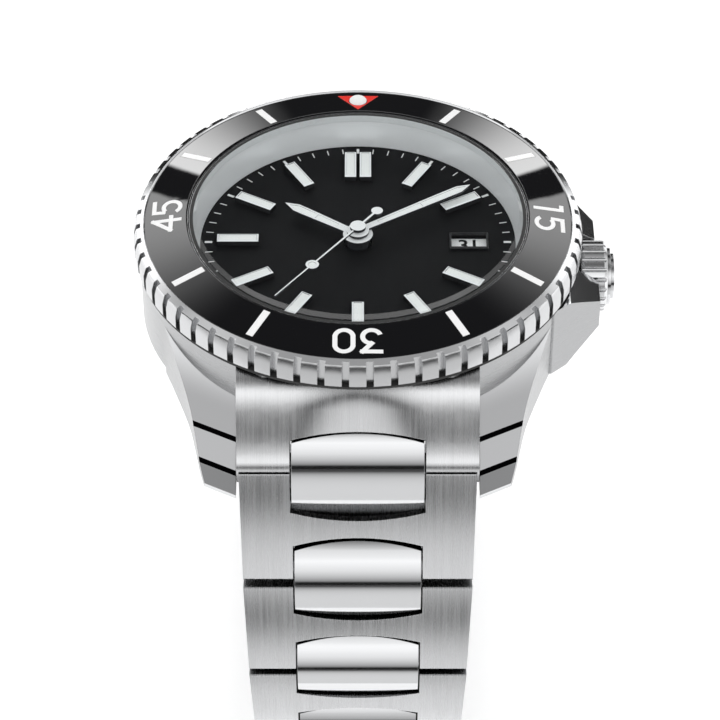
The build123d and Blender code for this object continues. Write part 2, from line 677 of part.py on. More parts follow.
def centre_link(k, joints):
    """Polished barrel link over joint k, round the moving pin and fixed to the link below."""
    moving, slope, fixed = joints[k]
    middle = along(fixed, slope, -PIN_OFFSET)
    half = CENTRE_LONG / 2
    plan = plan_plane(middle, slope) * arched(CENTRE_WIDTHS[k] / 2, -half, half, CENTRE_ARCH, CENTRE_ARCH)
    slab = extrude(plan, 5, both=True)
    outline = [
        ThreePointArc((-half, CENTRE_END), (0, CENTRE_CREST), (half, CENTRE_END)),
        Polyline((half, CENTRE_END), (half, -1.0), (half - 0.6, -CENTRE_FLAT), (0.6 - half, -CENTRE_FLAT),
                 (-half, -1.0), (-half, CENTRE_END)),
    ]
    profile = side_plane(middle, slope) * make_face(outline)
    body = slab & extrude(profile, 12, both=True)
    shaft = BAR_R if k == 0 else PIN_R
    return body - rod_x(shaft + RUN, -12, 12, *moving) - rod_x(PIN_R + SEAT, -12, 12, *fixed)


def notch_below(point, slope, half_width, reach):
    """Room for a centre link that hangs from a pin, open downwards."""
    plan = plan_plane(point, slope) * arched(half_width, -reach, 12, CENTRE_ARCH, 0.01)
    return extrude(plan, 6, both=True)


def notch_above(point, slope, half_width, reach):
    """Room for a centre link that is pinned at a point, open upwards."""
    plan = plan_plane(point, slope) * arched(half_width, -12, reach, 0.01, CENTRE_ARCH)
    return extrude(plan, 6, both=True)


def link_width(k):
    """Width of the bracelet at the top of link k."""
    return WIDTH_TOP - TAPER * k


def link(k, joints, last):
    """Brushed H-shaped link below joint k."""
    moving, slope, fixed = joints[k]
    tilt = LINK_SLOPES[k]
    top = OUTER_GAP / 2 - PIN_OFFSET
    end = PITCH - PIN_OFFSET - OUTER_GAP / 2
    half = THICK / 2
    bevel = END_BEVEL
    upper = [(top + bevel, -half), (top, half - 0.12), (top + 0.12, half)]
    if k == 0:
        upper = [(top - 1.2, -half), (top - 1.2, half)]
    lower = [(end - bevel, -half + 0.5), (end - bevel - 0.6, -half)]
    side = upper + [(end - 0.12, half), (end, half - 0.12)] + lower
    profile = extrude(side_plane(fixed, tilt) * Polygon(*side, align=None), 12, both=True)
    w0 = link_width(k) / 2
    w1 = link_width(k + 1) / 2
    plan = Polygon((-w0, top), (w0, top), (w1, end), (-w1, end), align=None)
    if k == 0:
        plan = Polygon((-w0, top - 2), (w0, top - 2), (w1, end), (-w1, end), align=None)
    body = profile & extrude(plan_plane(fixed, tilt) * plan, 6, both=True)
    room = CENTRE_LONG / 2 - PIN_OFFSET + NOTCH_END
    below = joints[k + 1][0] if k + 1 < LINKS else last
    body = body - notch_above(fixed, slope, CENTRE_WIDTHS[k] / 2 + SIDE_PLAY, room)
    body = body - notch_below(below, tilt, CENTRE_WIDTHS[k + 1] / 2 + SIDE_PLAY, room)
    if k == 0:
        body = body - rod_x(NOSE_R + NOSE_GAP, -12, 12, *moving)
    return body - rod_x(PIN_R + SEAT, -12, 12, *fixed) - rod_x(PIN_R + SEAT, -12, 12, *below)


def link_pins(k, joints, last):
    """Pin that holds link k to its centre link, and the pin the next centre link or the clasp hangs on."""
    fixed = joints[k][2]
    below = joints[k + 1][0] if k + 1 < LINKS else last
    upper = link_width(k) / 2 - 0.5
    lower = link_width(k + 1) / 2 - 0.35
    return rod_x(PIN_R, -upper, upper, *fixed), rod_x(PIN_R, -lower, lower, *below)


def end_link(joints):
    """Curved end piece between the lugs, with a round nose about the spring bar."""
    bar_y, bar_z = BAR_AT
    a = radians(END_SLOPE)
    meet = (bar_y + NOSE_R * sin(a), bar_z + NOSE_R * cos(a))
    top = [(bar_y + y, z) for y, z in END_TOP]
    curve = Spline(*top, meet)
    rest = Polyline(meet, (bar_y, bar_z), (bar_y - 0.5, bar_z - NOSE_R + 0.05), (bar_y - 2.257, bar_z - 0.775),
                    (POCKET_Y + END_GAP, bar_z - 0.025), (top[0][0], bar_z + 1.175), top[0])
    profile = Plane.YZ * make_face(curve.edges() + rest.edges())
    half = LUG_GAP / 2 - END_GAP
    body = extrude(profile, half, both=True) + rod_x(NOSE_R, -half, half, bar_y, bar_z)
    inside = disc(CASE_R + END_GAP, -5, 20) & box(-CASE_R, CASE_R, -CASE_R, POCKET_Y + END_GAP, -5, 20)
    body = body - inside
    moving, slope, _ = joints[0]
    room = CENTRE_LONG / 2 - BAR_OFFSET + NOTCH_END
    body = body - notch_below(moving, slope, CENTRE_WIDTHS[0] / 2 + SIDE_PLAY, room)
    return body - rod_x(BAR_R + SEAT, -12, 12, bar_y, bar_z)


def lug_bars():
    """The two spring bars between the lugs."""
    shapes = []
    for y in (BAR_AT[0], -BAR_AT[0]):
        half = LUG_GAP / 2 - 0.4
        tip = LUG_GAP / 2 + BAR_TIP
        shapes.append(rod_x(BAR_R, -half, half, y, BAR_AT[1]) + rod_x(BAR_TIP_R, -tip, tip, y, BAR_AT[1]))
    return group(shapes)


# ---- clasp, curved about one centre

class Clasp:
    """Positions on the clasp's pin circle; distances run from its middle towards 12 o'clock."""

    def __init__(self, last):
        self.half = last[0]
        self.radius = (last[0] ** 2 + CLASP_SAG ** 2) / (2 * CLASP_SAG)
        self.centre_z = last[1] - CLASP_SAG + self.radius
        self.end_angle = degrees(atan2(self.half, self.centre_z - last[1]))
        self.reach = radians(self.end_angle) * self.radius
        self.edge = self.reach - PLATE_END
        self.front = FRONT_PIN[0] - self.edge
        self.rear = self.edge - REAR_PIN[0]

    def point(self, distance, height):
        """(y, z) at a distance along the pin circle and a height outside it."""
        a = distance / self.radius
        r = self.radius + height
        return r * sin(a), self.centre_z - r * cos(a)

    def plate(self, layer, start, end, half_width):
        """Curved slab between two distances."""
        low, high = layer
        middle = (start + end) / 2
        inner = [self.point(d, low) for d in (start, middle, end)]
        outer = [self.point(d, high) for d in (end, middle, start)]
        edges = [ThreePointArc(*inner), Line(inner[2], outer[0])]
        edges += [ThreePointArc(*outer), Line(outer[2], inner[0])]
        return extrude(Plane.YZ * make_face(edges), half_width, both=True)

    def rod(self, radius, distance, height, x0, x1):
        """Cylinder across the clasp."""
        return rod_x(radius, x0, x1, *self.point(distance, height))


def clasp_cover(clasp):
    """Outer plate with side walls, a closed end and the tongue that the last link takes."""
    edge = clasp.edge
    full = (INNER_LAYER[0], COVER_LAYER[1])
    body = clasp.plate(full, -edge, edge, COVER_HALF)
    hollow = (INNER_LAYER[0] - 1, COVER_LAYER[0])
    body = body - clasp.plate(hollow, -edge - 2, edge - 2.9, COVER_HALF - WALL)
    tongue_half = CENTRE_WIDTHS[LINKS] / 2
    tongue = clasp.plate((-TONGUE_R, TONGUE_R), edge - 0.5, clasp.reach, tongue_half)
    body = body + tongue + clasp.rod(TONGUE_R, clasp.reach, 0, -tongue_half, tongue_half)
    body = body - clasp.rod(PIN_R + RUN, clasp.reach, 0, -12, 12)
    half = COVER_HALF - 0.4
    body = body - clasp.rod(FRONT_PIN[3] + RUN, clasp.front, FRONT_PIN[1], -half, half)
    body = body - clasp.rod(BUTTON_R + RUN, 0, 0, -12, 12)
    return body


def blade_waist(clasp, layer):
    """Side cuts that leave room for the push buttons."""
    cut = clasp.plate((layer[0] - 1, layer[1] + 1), -2.6, 2.6, 12) - clasp.plate(
        (layer[0] - 2, layer[1] + 2), -4, 4, WAIST_HALF)
    return cut


def middle_blade(clasp):
    """Blade between the front hinge and the rear hinge."""
    low, high = MIDDLE_LAYER
    body = clasp.plate(MIDDLE_LAYER, clasp.front, clasp.rear - 1.5, BLADE_HALF)
    body = body - blade_waist(clasp, MIDDLE_LAYER)
    body = body + clasp.rod(FRONT_PIN[2], clasp.front, FRONT_PIN[1], -BLADE_HALF, BLADE_HALF)
    body = body + clasp.plate((low, min(high, 0.6)), clasp.rear - 2, clasp.rear, KNUCKLE_HALF)
    body = body + clasp.rod(REAR_PIN[2], clasp.rear, REAR_PIN[1], -KNUCKLE_HALF, KNUCKLE_HALF)
    body = body - clasp.rod(FRONT_PIN[3] + SEAT, clasp.front, FRONT_PIN[1], -12, 12)
    return body - clasp.rod(REAR_PIN[3] + SEAT, clasp.rear, REAR_PIN[1], -12, 12)


def inner_blade(clasp):
    """Blade next to the wrist, from the last link's pin to the rear hinge."""
    low, high = INNER_LAYER
    edge = clasp.edge
    body = clasp.plate(INNER_LAYER, -edge, clasp.rear, BLADE_HALF) - blade_waist(clasp, INNER_LAYER)
    knuckles = clasp.rod(REAR_PIN[2], clasp.rear, REAR_PIN[1], -BLADE_HALF, BLADE_HALF)
    body = body + knuckles
    clear = clasp.rod(REAR_PIN[2] + 0.2, clasp.rear, REAR_PIN[1], -KNUCKLE_HALF - 0.1, KNUCKLE_HALF + 0.1)
    body = body - clear - clasp.plate((low - 1, high + 2), clasp.rear, clasp.rear + 3, KNUCKLE_HALF + 0.1)
    half = CENTRE_WIDTHS[LINKS] / 2
    neck = clasp.plate((low, 0.3), -edge - 0.6, -edge + 0.6, half)
    neck = neck + clasp.plate((-TONGUE_R, TONGUE_R), -clasp.reach, -edge, half)
    body = body + neck + clasp.rod(TONGUE_R, -clasp.reach, 0, -half, half)
    body = body - clasp.rod(PIN_R + RUN, -clasp.reach, 0, -12, 12)
    return body - clasp.rod(REAR_PIN[3] + RUN, clasp.rear, REAR_PIN[1], -12, 12)


def blade_pins(clasp):
    """Hinge pins of the folding blades."""
    half = COVER_HALF - 0.5
    front = clasp.rod(FRONT_PIN[3], clasp.front, FRONT_PIN[1], -half, half)
    rear = clasp.rod(REAR_PIN[3], clasp.rear, REAR_PIN[1], -BLADE_HALF + 0.1, BLADE_HALF - 0.1)
    return group([front, rear])


def push_button(clasp, sign):
    """Round push button in the cover's side wall, held by its flange."""
    inner, face, outer = (COVER_HALF + x for x in BUTTON_X)
    body = clasp.rod(BUTTON_R, 0, 0, inner, outer) + clasp.rod(BUTTON_FLANGE_R, 0, 0, inner, face)
    return body if sign > 0 else mirror(body, about=Plane.YZ)


def cover_bar(clasp):
    """Spring bar in the cover's tongue, its tips drawn in."""
    half = CENTRE_WIDTHS[LINKS] / 2 - 0.05
    return clasp.rod(PIN_R, clasp.reach, 0, -half, half)


def main():
    """Write every sub-part."""
    os.makedirs("parts", exist_ok=True)
    save("middle_case", middle_case())
    save("case_back", case_back())
    save("case_back_gasket", case_back_gasket())
    save("crown_tube", crown_tube())
    save("crown", crown())
    save("winding_stem", winding_stem())
    save("winding_pinion", winding_pinion())
    save("bezel_ring", bezel_ring())
    save("bezel_insert", bezel_insert())
    save("bezel_markers", bezel_marks())
    save("bezel_pip", bezel_pip())
    save("bezel_click_spring", click_spring())
    save("crystal", crystal())
    save("crystal_gasket", tube(CRYSTAL_R + SEAT, BORE_R - SEAT, CRYSTAL_Z[0], LIP_TOP))
    save("chapter_ring", chapter_ring())
    save("dial", dial())
    save("hour_markers", hour_marks())
    save("hour_hand", hour_hand())
    save("minute_hand", minute_hand())
    save("seconds_hand", seconds_hand())
    save("date_ring", date_ring())
    save("main_plate", main_plate())
    save("train_bridge", train_bridge())
    save("balance_wheel", balance_wheel())
    save("rotor", rotor())
    save("movement_holder", movement_holder())

    joints, last = chain()
    clasp = Clasp(last)
    end = end_link(joints)
    save("end_link_12", end)
    save("end_link_6", towards_six(end))
    save("lug_bars", lug_bars())
    for k in range(LINKS):
        outer = link(k, joints, last)
        centre = centre_link(k, joints)
        fixed, moving = link_pins(k, joints, last)
        name = k + 1
        save(f"link_12_{name}", outer)
        save(f"link_6_{name}", towards_six(outer))
        save(f"centre_link_12_{name}", centre)
        save(f"centre_link_6_{name}", towards_six(centre))
        save(f"link_pins_12_{name}", group([fixed, moving]) if name < LINKS else fixed)
        save(f"link_pins_6_{name}", towards_six(group([fixed, moving])))
    save("clasp_cover", clasp_cover(clasp))
    save("middle_blade", middle_blade(clasp))
    save("inner_blade", inner_blade(clasp))
    save("blade_pins", blade_pins(clasp))
    save("push_button_right", push_button(clasp, 1))
    save("push_button_left", push_button(clasp, -1))
    save("cover_bar", cover_bar(clasp))


main()
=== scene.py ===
"""Looks of a steel diver's watch on its closed bracelet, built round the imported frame."""

from math import cos, radians, sin, tau

import bmesh
import bpy
from bpy.props import FloatProperty, FloatVectorProperty, PointerProperty
from mathutils import Matrix, Vector


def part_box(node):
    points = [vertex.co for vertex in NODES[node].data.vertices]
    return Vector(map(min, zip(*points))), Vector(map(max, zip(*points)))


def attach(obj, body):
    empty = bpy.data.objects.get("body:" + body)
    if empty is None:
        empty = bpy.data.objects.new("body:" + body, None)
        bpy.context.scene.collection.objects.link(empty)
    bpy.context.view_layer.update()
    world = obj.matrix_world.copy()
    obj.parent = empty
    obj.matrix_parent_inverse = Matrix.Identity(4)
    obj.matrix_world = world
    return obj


bl_info = {
    "name": "Diver's watch",
    "version": (1, 0, 0),
    "blender": (4, 5, 0),
    "location": "3D View > Sidebar > Watch",
    "description": "Finishes a diver's watch: case, bezel, dial, hands, bracelet and stage",
    "category": "Object",
}

MM = 0.001
COLOUR_INPUTS = (0, 6, 7)   # places of a colour Mix node's factor and two colours
COLOUR_OUTPUT = 2
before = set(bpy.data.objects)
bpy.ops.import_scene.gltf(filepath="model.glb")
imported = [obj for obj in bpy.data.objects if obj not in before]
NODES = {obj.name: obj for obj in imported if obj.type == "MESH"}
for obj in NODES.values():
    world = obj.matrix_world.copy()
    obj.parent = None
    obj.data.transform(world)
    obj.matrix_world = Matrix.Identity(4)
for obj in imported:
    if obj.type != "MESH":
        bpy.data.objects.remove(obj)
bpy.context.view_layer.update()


def corner(node, which, axis):
    """One coordinate of a node's box: which is 0 for the low corner and 1 for the high one."""
    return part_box(node)[which][axis]


DIAL_Z = corner("dial", 1, 2)
BEZEL_R = corner("bezel_ring", 1, 0)
DATE_Z = corner("date_ring", 1, 2)
HOUR_TOP = corner("hour_hand", 1, 2)
MINUTE_TOP = corner("minute_hand", 1, 2)
MARK_TOP = corner("hour_markers", 1, 2)
FLOOR_Z = min(corner(name, 0, 2) for name in ("clasp_cover", "inner_blade", "middle_blade"))

SHADE_GASKET_R = (17 * MM, 20.86 * MM)             # dark gasket under the bezel, there as painted shade in the gap
SHADE_GASKET_Z = (DIAL_Z + 0.03 * MM, DIAL_Z + 0.27 * MM)
BATON = (9.53 * MM, 13.07 * MM)              # a marker filling's ends, from the centre
BATON_HALF = 0.38 * MM
PAIR_SHIFT = 0.72 * MM                       # of each marker of the pair at 12
BATON_LOW = MARK_TOP - 0.12 * MM
BATON_HIGH = MARK_TOP - 0.03 * MM
HOUR_HAND = (8.4 * MM, 1.05 * MM, HOUR_TOP, 304.5)       # length, width, top, clock angle
MINUTE_HAND = (12.8 * MM, 0.95 * MM, MINUTE_TOP, 57.0)
BED_EDGE = 0.18 * MM                         # steel left beside a hand's filling
BED_START = 2.33 * MM
BRIDGE = 0.12 * MM                           # bar across a hand, between its two fillings
BRIDGE_SHARE = 0.56                          # its place, as a share of the hand's length
WIDEST_SHARE = 0.72                          # where a hand is widest, as a share of its length
ROOT_SHARE = 0.7                             # a hand's width at the centre, as a share of its full width
POINT = (1.46 * MM, 0.57 * MM)               # from the hand's end: where its point starts, and the filling's
DOT_PLACE = 7.0 * MM                         # filled ring of the seconds hand
DOT_R = 0.35 * MM
DOT_TOP = DIAL_Z + 1.9 * MM
SECONDS_ANGLE = 217.0
DATE_R = 10.45 * MM                          # circle of the date figures
DAYS = 31
CARD_FAR, CARD_NEAR, CARD_SIDE = -0.8, -0.055, 0.7       # dark card that only the steel mirrors
END_LINK_MIDDLE = (19.5 * MM, 4.0 * MM)      # along the bracelet and up
END_LINK_SLOPE = 58
END_LINK_LEAN = (3.0, 20.0, 7.0 * MM)        # at its sides, at its centre, and how far out it changes
LINK_SLOPES = (64.5, 82.0, 99.0, 119.0)      # degrees below horizontal, from the case on
LINK_LEANS = (9.4, -13.0, -24.0, -30.0)      # of a link's face, in degrees
CENTRE_SLOPES = (61.0, 73.25, 90.5, 109.0)
CENTRE_LEANS = (16.0, -6.0, -21.0, -30.0)


# ---- sizes, colours and stage settings a user would change

class WatchSizes(bpy.types.PropertyGroup):
    """Sizes of the printed and filled details."""
    tick_inner: FloatProperty(name="Tick inner radius", description="Inner end of the minute ticks",
                              default=13.72 * MM, unit="LENGTH", precision=5)
    tick_outer: FloatProperty(name="Tick outer radius", description="Outer end of the minute ticks",
                              default=14.42 * MM, unit="LENGTH", precision=5)
    tick_width: FloatProperty(name="Tick width", description="Width of a minute tick",
                              default=0.1 * MM, unit="LENGTH", precision=5)
    five_width: FloatProperty(name="Five-minute tick width", description="Width of a five-minute tick",
                              default=0.26 * MM, unit="LENGTH", precision=5)
    print_height: FloatProperty(name="Print height", description="Thickness of the printing on the dial",
                                default=0.02 * MM, unit="LENGTH", precision=5)
    figure_height: FloatProperty(name="Date figure height", description="Height of the date figures",
                                 default=1.55 * MM, unit="LENGTH", precision=5)
    edge_radius: FloatProperty(name="Edge radius", description="Rounding of worked steel edges",
                               default=0.06 * MM, unit="LENGTH", precision=5)


class WatchColours(bpy.types.PropertyGroup):
    """Colours of the finishes."""
    steel: FloatVectorProperty(name="Steel", description="Colour of the steel", subtype="COLOR",
                               default=(0.66, 0.665, 0.675))
    ceramic: FloatVectorProperty(name="Ceramic", description="Colour of the bezel insert", subtype="COLOR",
                                 default=(0.006, 0.006, 0.007))
    dial: FloatVectorProperty(name="Dial", description="Colour of the dial", subtype="COLOR",
                              default=(0.007, 0.007, 0.008))
    filling: FloatVectorProperty(name="Luminous filling", description="Colour of the filling",
                                 subtype="COLOR", default=(0.86, 0.87, 0.86))
    triangle: FloatVectorProperty(name="Triangle", description="Colour of the bezel triangle",
                                  subtype="COLOR", default=(0.75, 0.018, 0.008))


class WatchStage(bpy.types.PropertyGroup):
    """Floor and light."""
    floor_side: FloatProperty(name="Floor side", description="Side of the square floor", default=1.6,
                              unit="LENGTH")
    fill: FloatProperty(name="Fill light", description="Strength of the even light", default=1.12)
    gloss: FloatProperty(name="Panel light", description="Strength of what the steel mirrors", default=1.0)


# ---- shader maths

class Value:
    """A socket of a node tree that takes part in sums."""

    def __init__(self, sheet, socket):
        self.sheet = sheet
        self.socket = socket

    def sum(self, operation, *others):
        return self.sheet.node("ShaderNodeMath", {"operation": operation}, *(self, *others))

    def __add__(self, other):
        return self.sum("ADD", other)

    def __radd__(self, other):
        return self.sum("ADD", other)

    def __sub__(self, other):
        return self.sum("SUBTRACT", other)

    def __rsub__(self, other):
        return self.sheet.node("ShaderNodeMath", {"operation": "SUBTRACT"}, other, self)

    def __mul__(self, other):
        return self.sum("MULTIPLY", other)

    def __rmul__(self, other):
        return self.sum("MULTIPLY", other)

    def __truediv__(self, other):
        return self.sum("DIVIDE", other)

    def __rtruediv__(self, other):
        return self.sheet.node("ShaderNodeMath", {"operation": "DIVIDE"}, other, self)

    def __abs__(self):
        return self.sum("ABSOLUTE")

    def most(self, other):
        return self.sum("MAXIMUM", other)

    def step(self, low, high):
        """0 below low and 1 above high, smooth between them."""
        return self.sheet.node("ShaderNodeMapRange", {"interpolation_type": "SMOOTHSTEP"}, self, low, high)


class Sheet:
    """A node tree and the one method that adds a node to it."""

    def __init__(self, tree):
        self.tree = tree

    def node(self, kind, settings, *values, out=0, **named):
        """Adds a node: settings first, then values or links by place or by socket name."""
        node = self.tree.nodes.new(kind)
        for key, value in settings.items():
            if key == "stops":
                self.ramp(node.color_ramp, value)
            else:
                setattr(node, key, value)
        for place, value in enumerate(values):
            self.feed(node.inputs[place], value)
        for key, value in named.items():
            self.feed(node.inputs[key.replace("_", " ")], value)
        return Value(self, node.outputs[out])

    def ramp(self, ramp, stops):
        while len(ramp.elements) > 1:
            ramp.elements.remove(ramp.elements[-1])
        ramp.elements[0].position, grey = stops[0]
        ramp.elements[0].color = (grey, grey, grey, 1)
        for place, grey in stops[1:]:
            ramp.elements.new(place).color = (grey, grey, grey, 1)

    def feed(self, socket, value):
        if isinstance(value, Value):
            self.tree.links.new(value.socket, socket)
        else:
            socket.default_value = value

    def parts(self, vector):
        """The three numbers of a vector."""
        split = self.node("ShaderNodeSeparateXYZ", {}, vector).socket.node
        return [Value(self, output) for output in split.outputs]

    def joined(self, x, y, z):
        return self.node("ShaderNodeCombineXYZ", {}, x, y, z)

    def place(self):
        """Object coordinates."""
        return self.node("ShaderNodeTexCoord", {}, out="Object")

    def facing(self):
        """The surface's own direction, in object coordinates."""
        return self.node("ShaderNodeTexCoord", {}, out="Normal")

    def level(self):
        """How far the surface faces up: 1 on top, 0 on upright faces and -1 below."""
        return self.parts(self.facing())[2]

    def radius(self):
        """Distance from the watch's centre line."""
        x, y = self.parts(self.place())[:2]
        return (x * x + y * y).sum("SQRT")

    def angle(self):
        """Angle round the centre line."""
        x, y = self.parts(self.place())[:2]
        return self.node("ShaderNodeMath", {"operation": "ARCTAN2"}, y, x)

    def noise(self, vector, scale=1.0, detail=2.0, roughness=0.5):
        return self.node("ShaderNodeTexNoise", {}, Vector=vector, Scale=scale, Detail=detail,
                         Roughness=roughness)

    def mixed(self, factor, low, high):
        """A colour between two colours."""
        node = self.tree.nodes.new("ShaderNodeMix")
        node.data_type = "RGBA"
        for place, value in zip(COLOUR_INPUTS, (factor, low, high)):
            self.feed(node.inputs[place], value)
        return Value(self, node.outputs[COLOUR_OUTPUT])


def rgba(colour, share=1.0):
    """A colour, brighter or darker by a share, with its alpha."""
    return (*(c * share for c in colour), 1.0)


class Finish(Sheet):
    """A material with one Principled shader."""

    def __init__(self, name, base, metallic, roughness, **constants):
        self.material = bpy.data.materials.new(name)
        self.material.use_nodes = True
        super().__init__(self.material.node_tree)
        self.shader = self.tree.nodes["Principled BSDF"]
        self.set("Base Color", base)
        self.set("Metallic", metallic)
        self.set("Roughness", roughness)
        for key, value in constants.items():
            self.set(key.replace("_", " "), value)

    def set(self, name, value):
        self.feed(self.shader.inputs[name], value)

    def shaded(self, colour, reach=0.9 * MM, least=0.15):
        """The colour, dark with painted shade in narrow gaps between pieces."""
        open_ = self.node("ShaderNodeAmbientOcclusion", {"samples": 5}, Distance=reach, out="AO")
        return self.mixed(open_.step(least, least + 0.55), (0.004, 0.004, 0.004, 1), colour)

    def dome(self, middle, down, lean, radius):
        """Height of a slight dome along a link: lean turns its face downwards, in degrees."""
        x, y, z = self.parts(self.place())
        along = (y - middle[1]) * down[1] + (z - middle[2]) * down[2]
        if isinstance(lean, tuple):
            sides, centre, reach = lean
            share = 1.0 - abs(x).step(0.0, reach)
            turn = share * radians(centre - sides) + radians(sides)
            return along * turn * -1.0 - along * along * (0.5 / radius)
        return along * -radians(lean) - along * along * (0.5 / radius)

    def side(self):
        """1 on upright faces and 0 on level ones."""
        return 1.0 - abs(self.level()).step(0.25, 0.5)

    def rounded(self, radius):
        """Normal of the surface with its edges rounded."""
        return self.node("ShaderNodeBevel", {"samples": 6}, radius)

    def bumped(self, height, distance, radius=None):
        """Raises the surface by height times distance, over rounded edges if a radius is given."""
        named = {"Height": height, "Distance": distance, "Strength": 1.0}
        if radius:
            named["Normal"] = self.rounded(radius)
        self.set("Normal", self.node("ShaderNodeBump", {}, **named))


def sizes():
    return bpy.context.scene.watch_sizes


def colours():
    return bpy.context.scene.watch_colours


def fine_grain(paint, across, along_a, along_b):
    """Fine lines: across is the coordinate the grain changes with, the others lie along it."""
    return paint.noise(paint.joined(across * 26000.0, along_a * 260.0, along_b * 260.0), 1.0, 3.0, 0.7)


def broad_grain(paint, across, along_a, along_b):
    """Wider streaks that lie the same way."""
    return paint.noise(paint.joined(across * 3600.0, along_a * 60.0, along_b * 60.0), 1.0, 2.0, 0.6)


def brushed_steel(name, rough, dome=None):
    """Steel with straight grain along the bracelet.
    dome is the middle, the way down the link, its lean and its radius."""
    paint = Finish(name, rgba(colours().steel), 1.0, rough)
    x, y, z = paint.parts(paint.place())
    fine = fine_grain(paint, x, y, z)
    broad = broad_grain(paint, x, y, z)
    paint.set("Roughness", fine * 0.12 + broad * 0.1 + (rough - 0.11))
    shade = (fine * 0.6 + broad * 0.4).step(0.25, 0.75)
    tone = paint.mixed(shade, rgba(colours().steel, 1.02), rgba(colours().steel, 1.24))
    # painted shade: the colour goes dark in the narrow gaps between links
    paint.set("Base Color", paint.shaded(tone, 2.2 * MM, 0.3))
    height = (fine * 0.7 + broad * 0.3) * 0.0000035
    if dome:
        height = height + paint.dome(*dome)
    paint.bumped(height, 1.0, sizes().edge_radius)
    return paint.material


def polished_steel(name, rough=0.07, radius=1.0, dome=None):
    """Mirror steel with faint wiping marks."""
    paint = Finish(name, rgba(colours().steel, 1.08), 1.0, rough)
    # painted shade: the colour goes dark in narrow gaps between pieces
    paint.set("Base Color", paint.shaded(rgba(colours().steel, 1.12)))
    marks = paint.noise(paint.place(), 900.0, 3.0, 0.6)
    hairs = paint.noise(paint.node("ShaderNodeMapping", {}, paint.place(), Scale=(9000.0, 500.0, 700.0)), 1.0)
    paint.set("Roughness", marks * 0.05 + hairs * 0.04 + (rough - 0.045))
    height = hairs * 0.0000004
    if dome:
        height = height + paint.dome(*dome)
    paint.bumped(height, 1.0, sizes().edge_radius * radius)
    return paint.material


def case_steel():
    """Polished tops and bevels, brushed flanks, with painted shade: darker flanks, darker level faces low on
    the case, a black strip on faces of one tilt and dark narrow gaps.
    """
    paint = Finish("case_steel", rgba(colours().steel), 1.0, 0.2)
    x, y, z = paint.parts(paint.place())
    nz = paint.level()
    flank = 1.0 - abs(nz).step(0.16, 0.26)
    fine = fine_grain(paint, z, x, y)
    paint.set("Roughness", flank * (fine * 0.14 + 0.2) + (1.0 - flank) * 0.09)
    # painted shade: a black strip on faces of one tilt, between the polished tops and the flanks
    painted_dark_strip = nz.step(0.40, 0.43) * (1.0 - nz.step(0.54, 0.57))
    # painted shade: level faces low on the case are darker
    painted_low_shade = nz.step(0.6, 0.7) * (1.0 - z.step(3.6 * MM, 6.4 * MM))
    top = paint.mixed(painted_low_shade, rgba(colours().steel, 1.12), rgba(colours().steel, 0.62))
    # painted shade: the upright flanks are darker than the tops
    tone = paint.mixed(flank, top, rgba(colours().steel, 0.62))
    paint.set("Base Color", paint.shaded(paint.mixed(painted_dark_strip, tone, (0.004, 0.004, 0.005, 1))))
    paint.bumped(flank * fine, 0.0000035, sizes().edge_radius)
    return paint.material


def ring_steel():
    """Bezel: polished, with upright grain on the teeth and in the notches; painted shade makes those upright
    faces darker and narrow gaps dark.
    """
    paint = Finish("bezel_steel", rgba(colours().steel), 1.0, 0.1)
    z = paint.parts(paint.place())[2]
    fine = fine_grain(paint, paint.angle() * BEZEL_R, z, z)
    worked = 1.0 - abs(paint.level()).step(0.3, 0.5)
    paint.set("Roughness", worked * (fine * 0.14 + 0.16) + (1.0 - worked) * 0.08)
    # painted shade: upright faces darker than level ones, and narrow gaps dark
    paint.set("Base Color", paint.shaded(
        paint.mixed(worked, rgba(colours().steel, 1.12), rgba(colours().steel, 0.9)), 0.3 * MM, 0.0))
    paint.bumped(worked * fine, 0.000003, sizes().edge_radius)
    return paint.material


def turned_steel(name, rough=0.28, metallic=1.0, bright=1.0, painted_top_shade=False):
    """Steel with rings of grain round the centre line; bright above 1 paints light into its colour, and its
    level faces carry painted shade if asked.
    """
    paint = Finish(name, rgba(colours().steel), metallic, rough)
    across = paint.radius() + paint.parts(paint.place())[2]
    along = paint.angle() * 0.004
    fine = fine_grain(paint, across, along, 0.0)
    broad = broad_grain(paint, across, along, 0.0)
    paint.set("Roughness", fine * 0.14 + (rough - 0.07))
    # painted light: bright above 1 lifts the steel past its own colour
    tone = paint.mixed(fine, rgba(colours().steel, 0.82 * bright), rgba(colours().steel, 1.05 * bright))
    if painted_top_shade:
        # painted shade: level faces near black
        tone = paint.mixed(paint.level().step(0.85, 0.92), tone, (0.03, 0.03, 0.03, 1))
    paint.set("Base Color", tone)
    paint.bumped(fine * 0.6 + broad * 0.4, 0.000004, sizes().edge_radius)
    return paint.material


def ceramic():
    """Glossy black insert."""
    paint = Finish("ceramic", rgba(colours().ceramic), 0.0, 0.1, IOR=2.15)
    speck = paint.noise(paint.place(), 2600.0, 3.0)
    paint.set("Roughness", speck * 0.02 + 0.01)
    paint.bumped(speck, 0.0000001, sizes().edge_radius)
    return paint.material


def bezel_inlay():
    """White inlay, with the triangle at 12 in its own colour."""
    paint = Finish("bezel_inlay", (0.85, 0.85, 0.85, 1), 0.0, 0.35)
    x, y = paint.parts(paint.place())[:2]
    there = y.step(15.9 * MM, 15.95 * MM) * (1.0 - abs(x).step(2.2 * MM, 2.25 * MM))
    grain = paint.noise(paint.place(), 5000.0, 2.0)
    white = paint.mixed(grain, (0.80, 0.80, 0.80, 1), (0.9, 0.9, 0.9, 1))
    paint.set("Base Color", paint.mixed(there, white, rgba(colours().triangle)))
    paint.set("Roughness", grain * 0.1 + 0.26)
    paint.bumped(grain, 0.000002, sizes().edge_radius)
    return paint.material


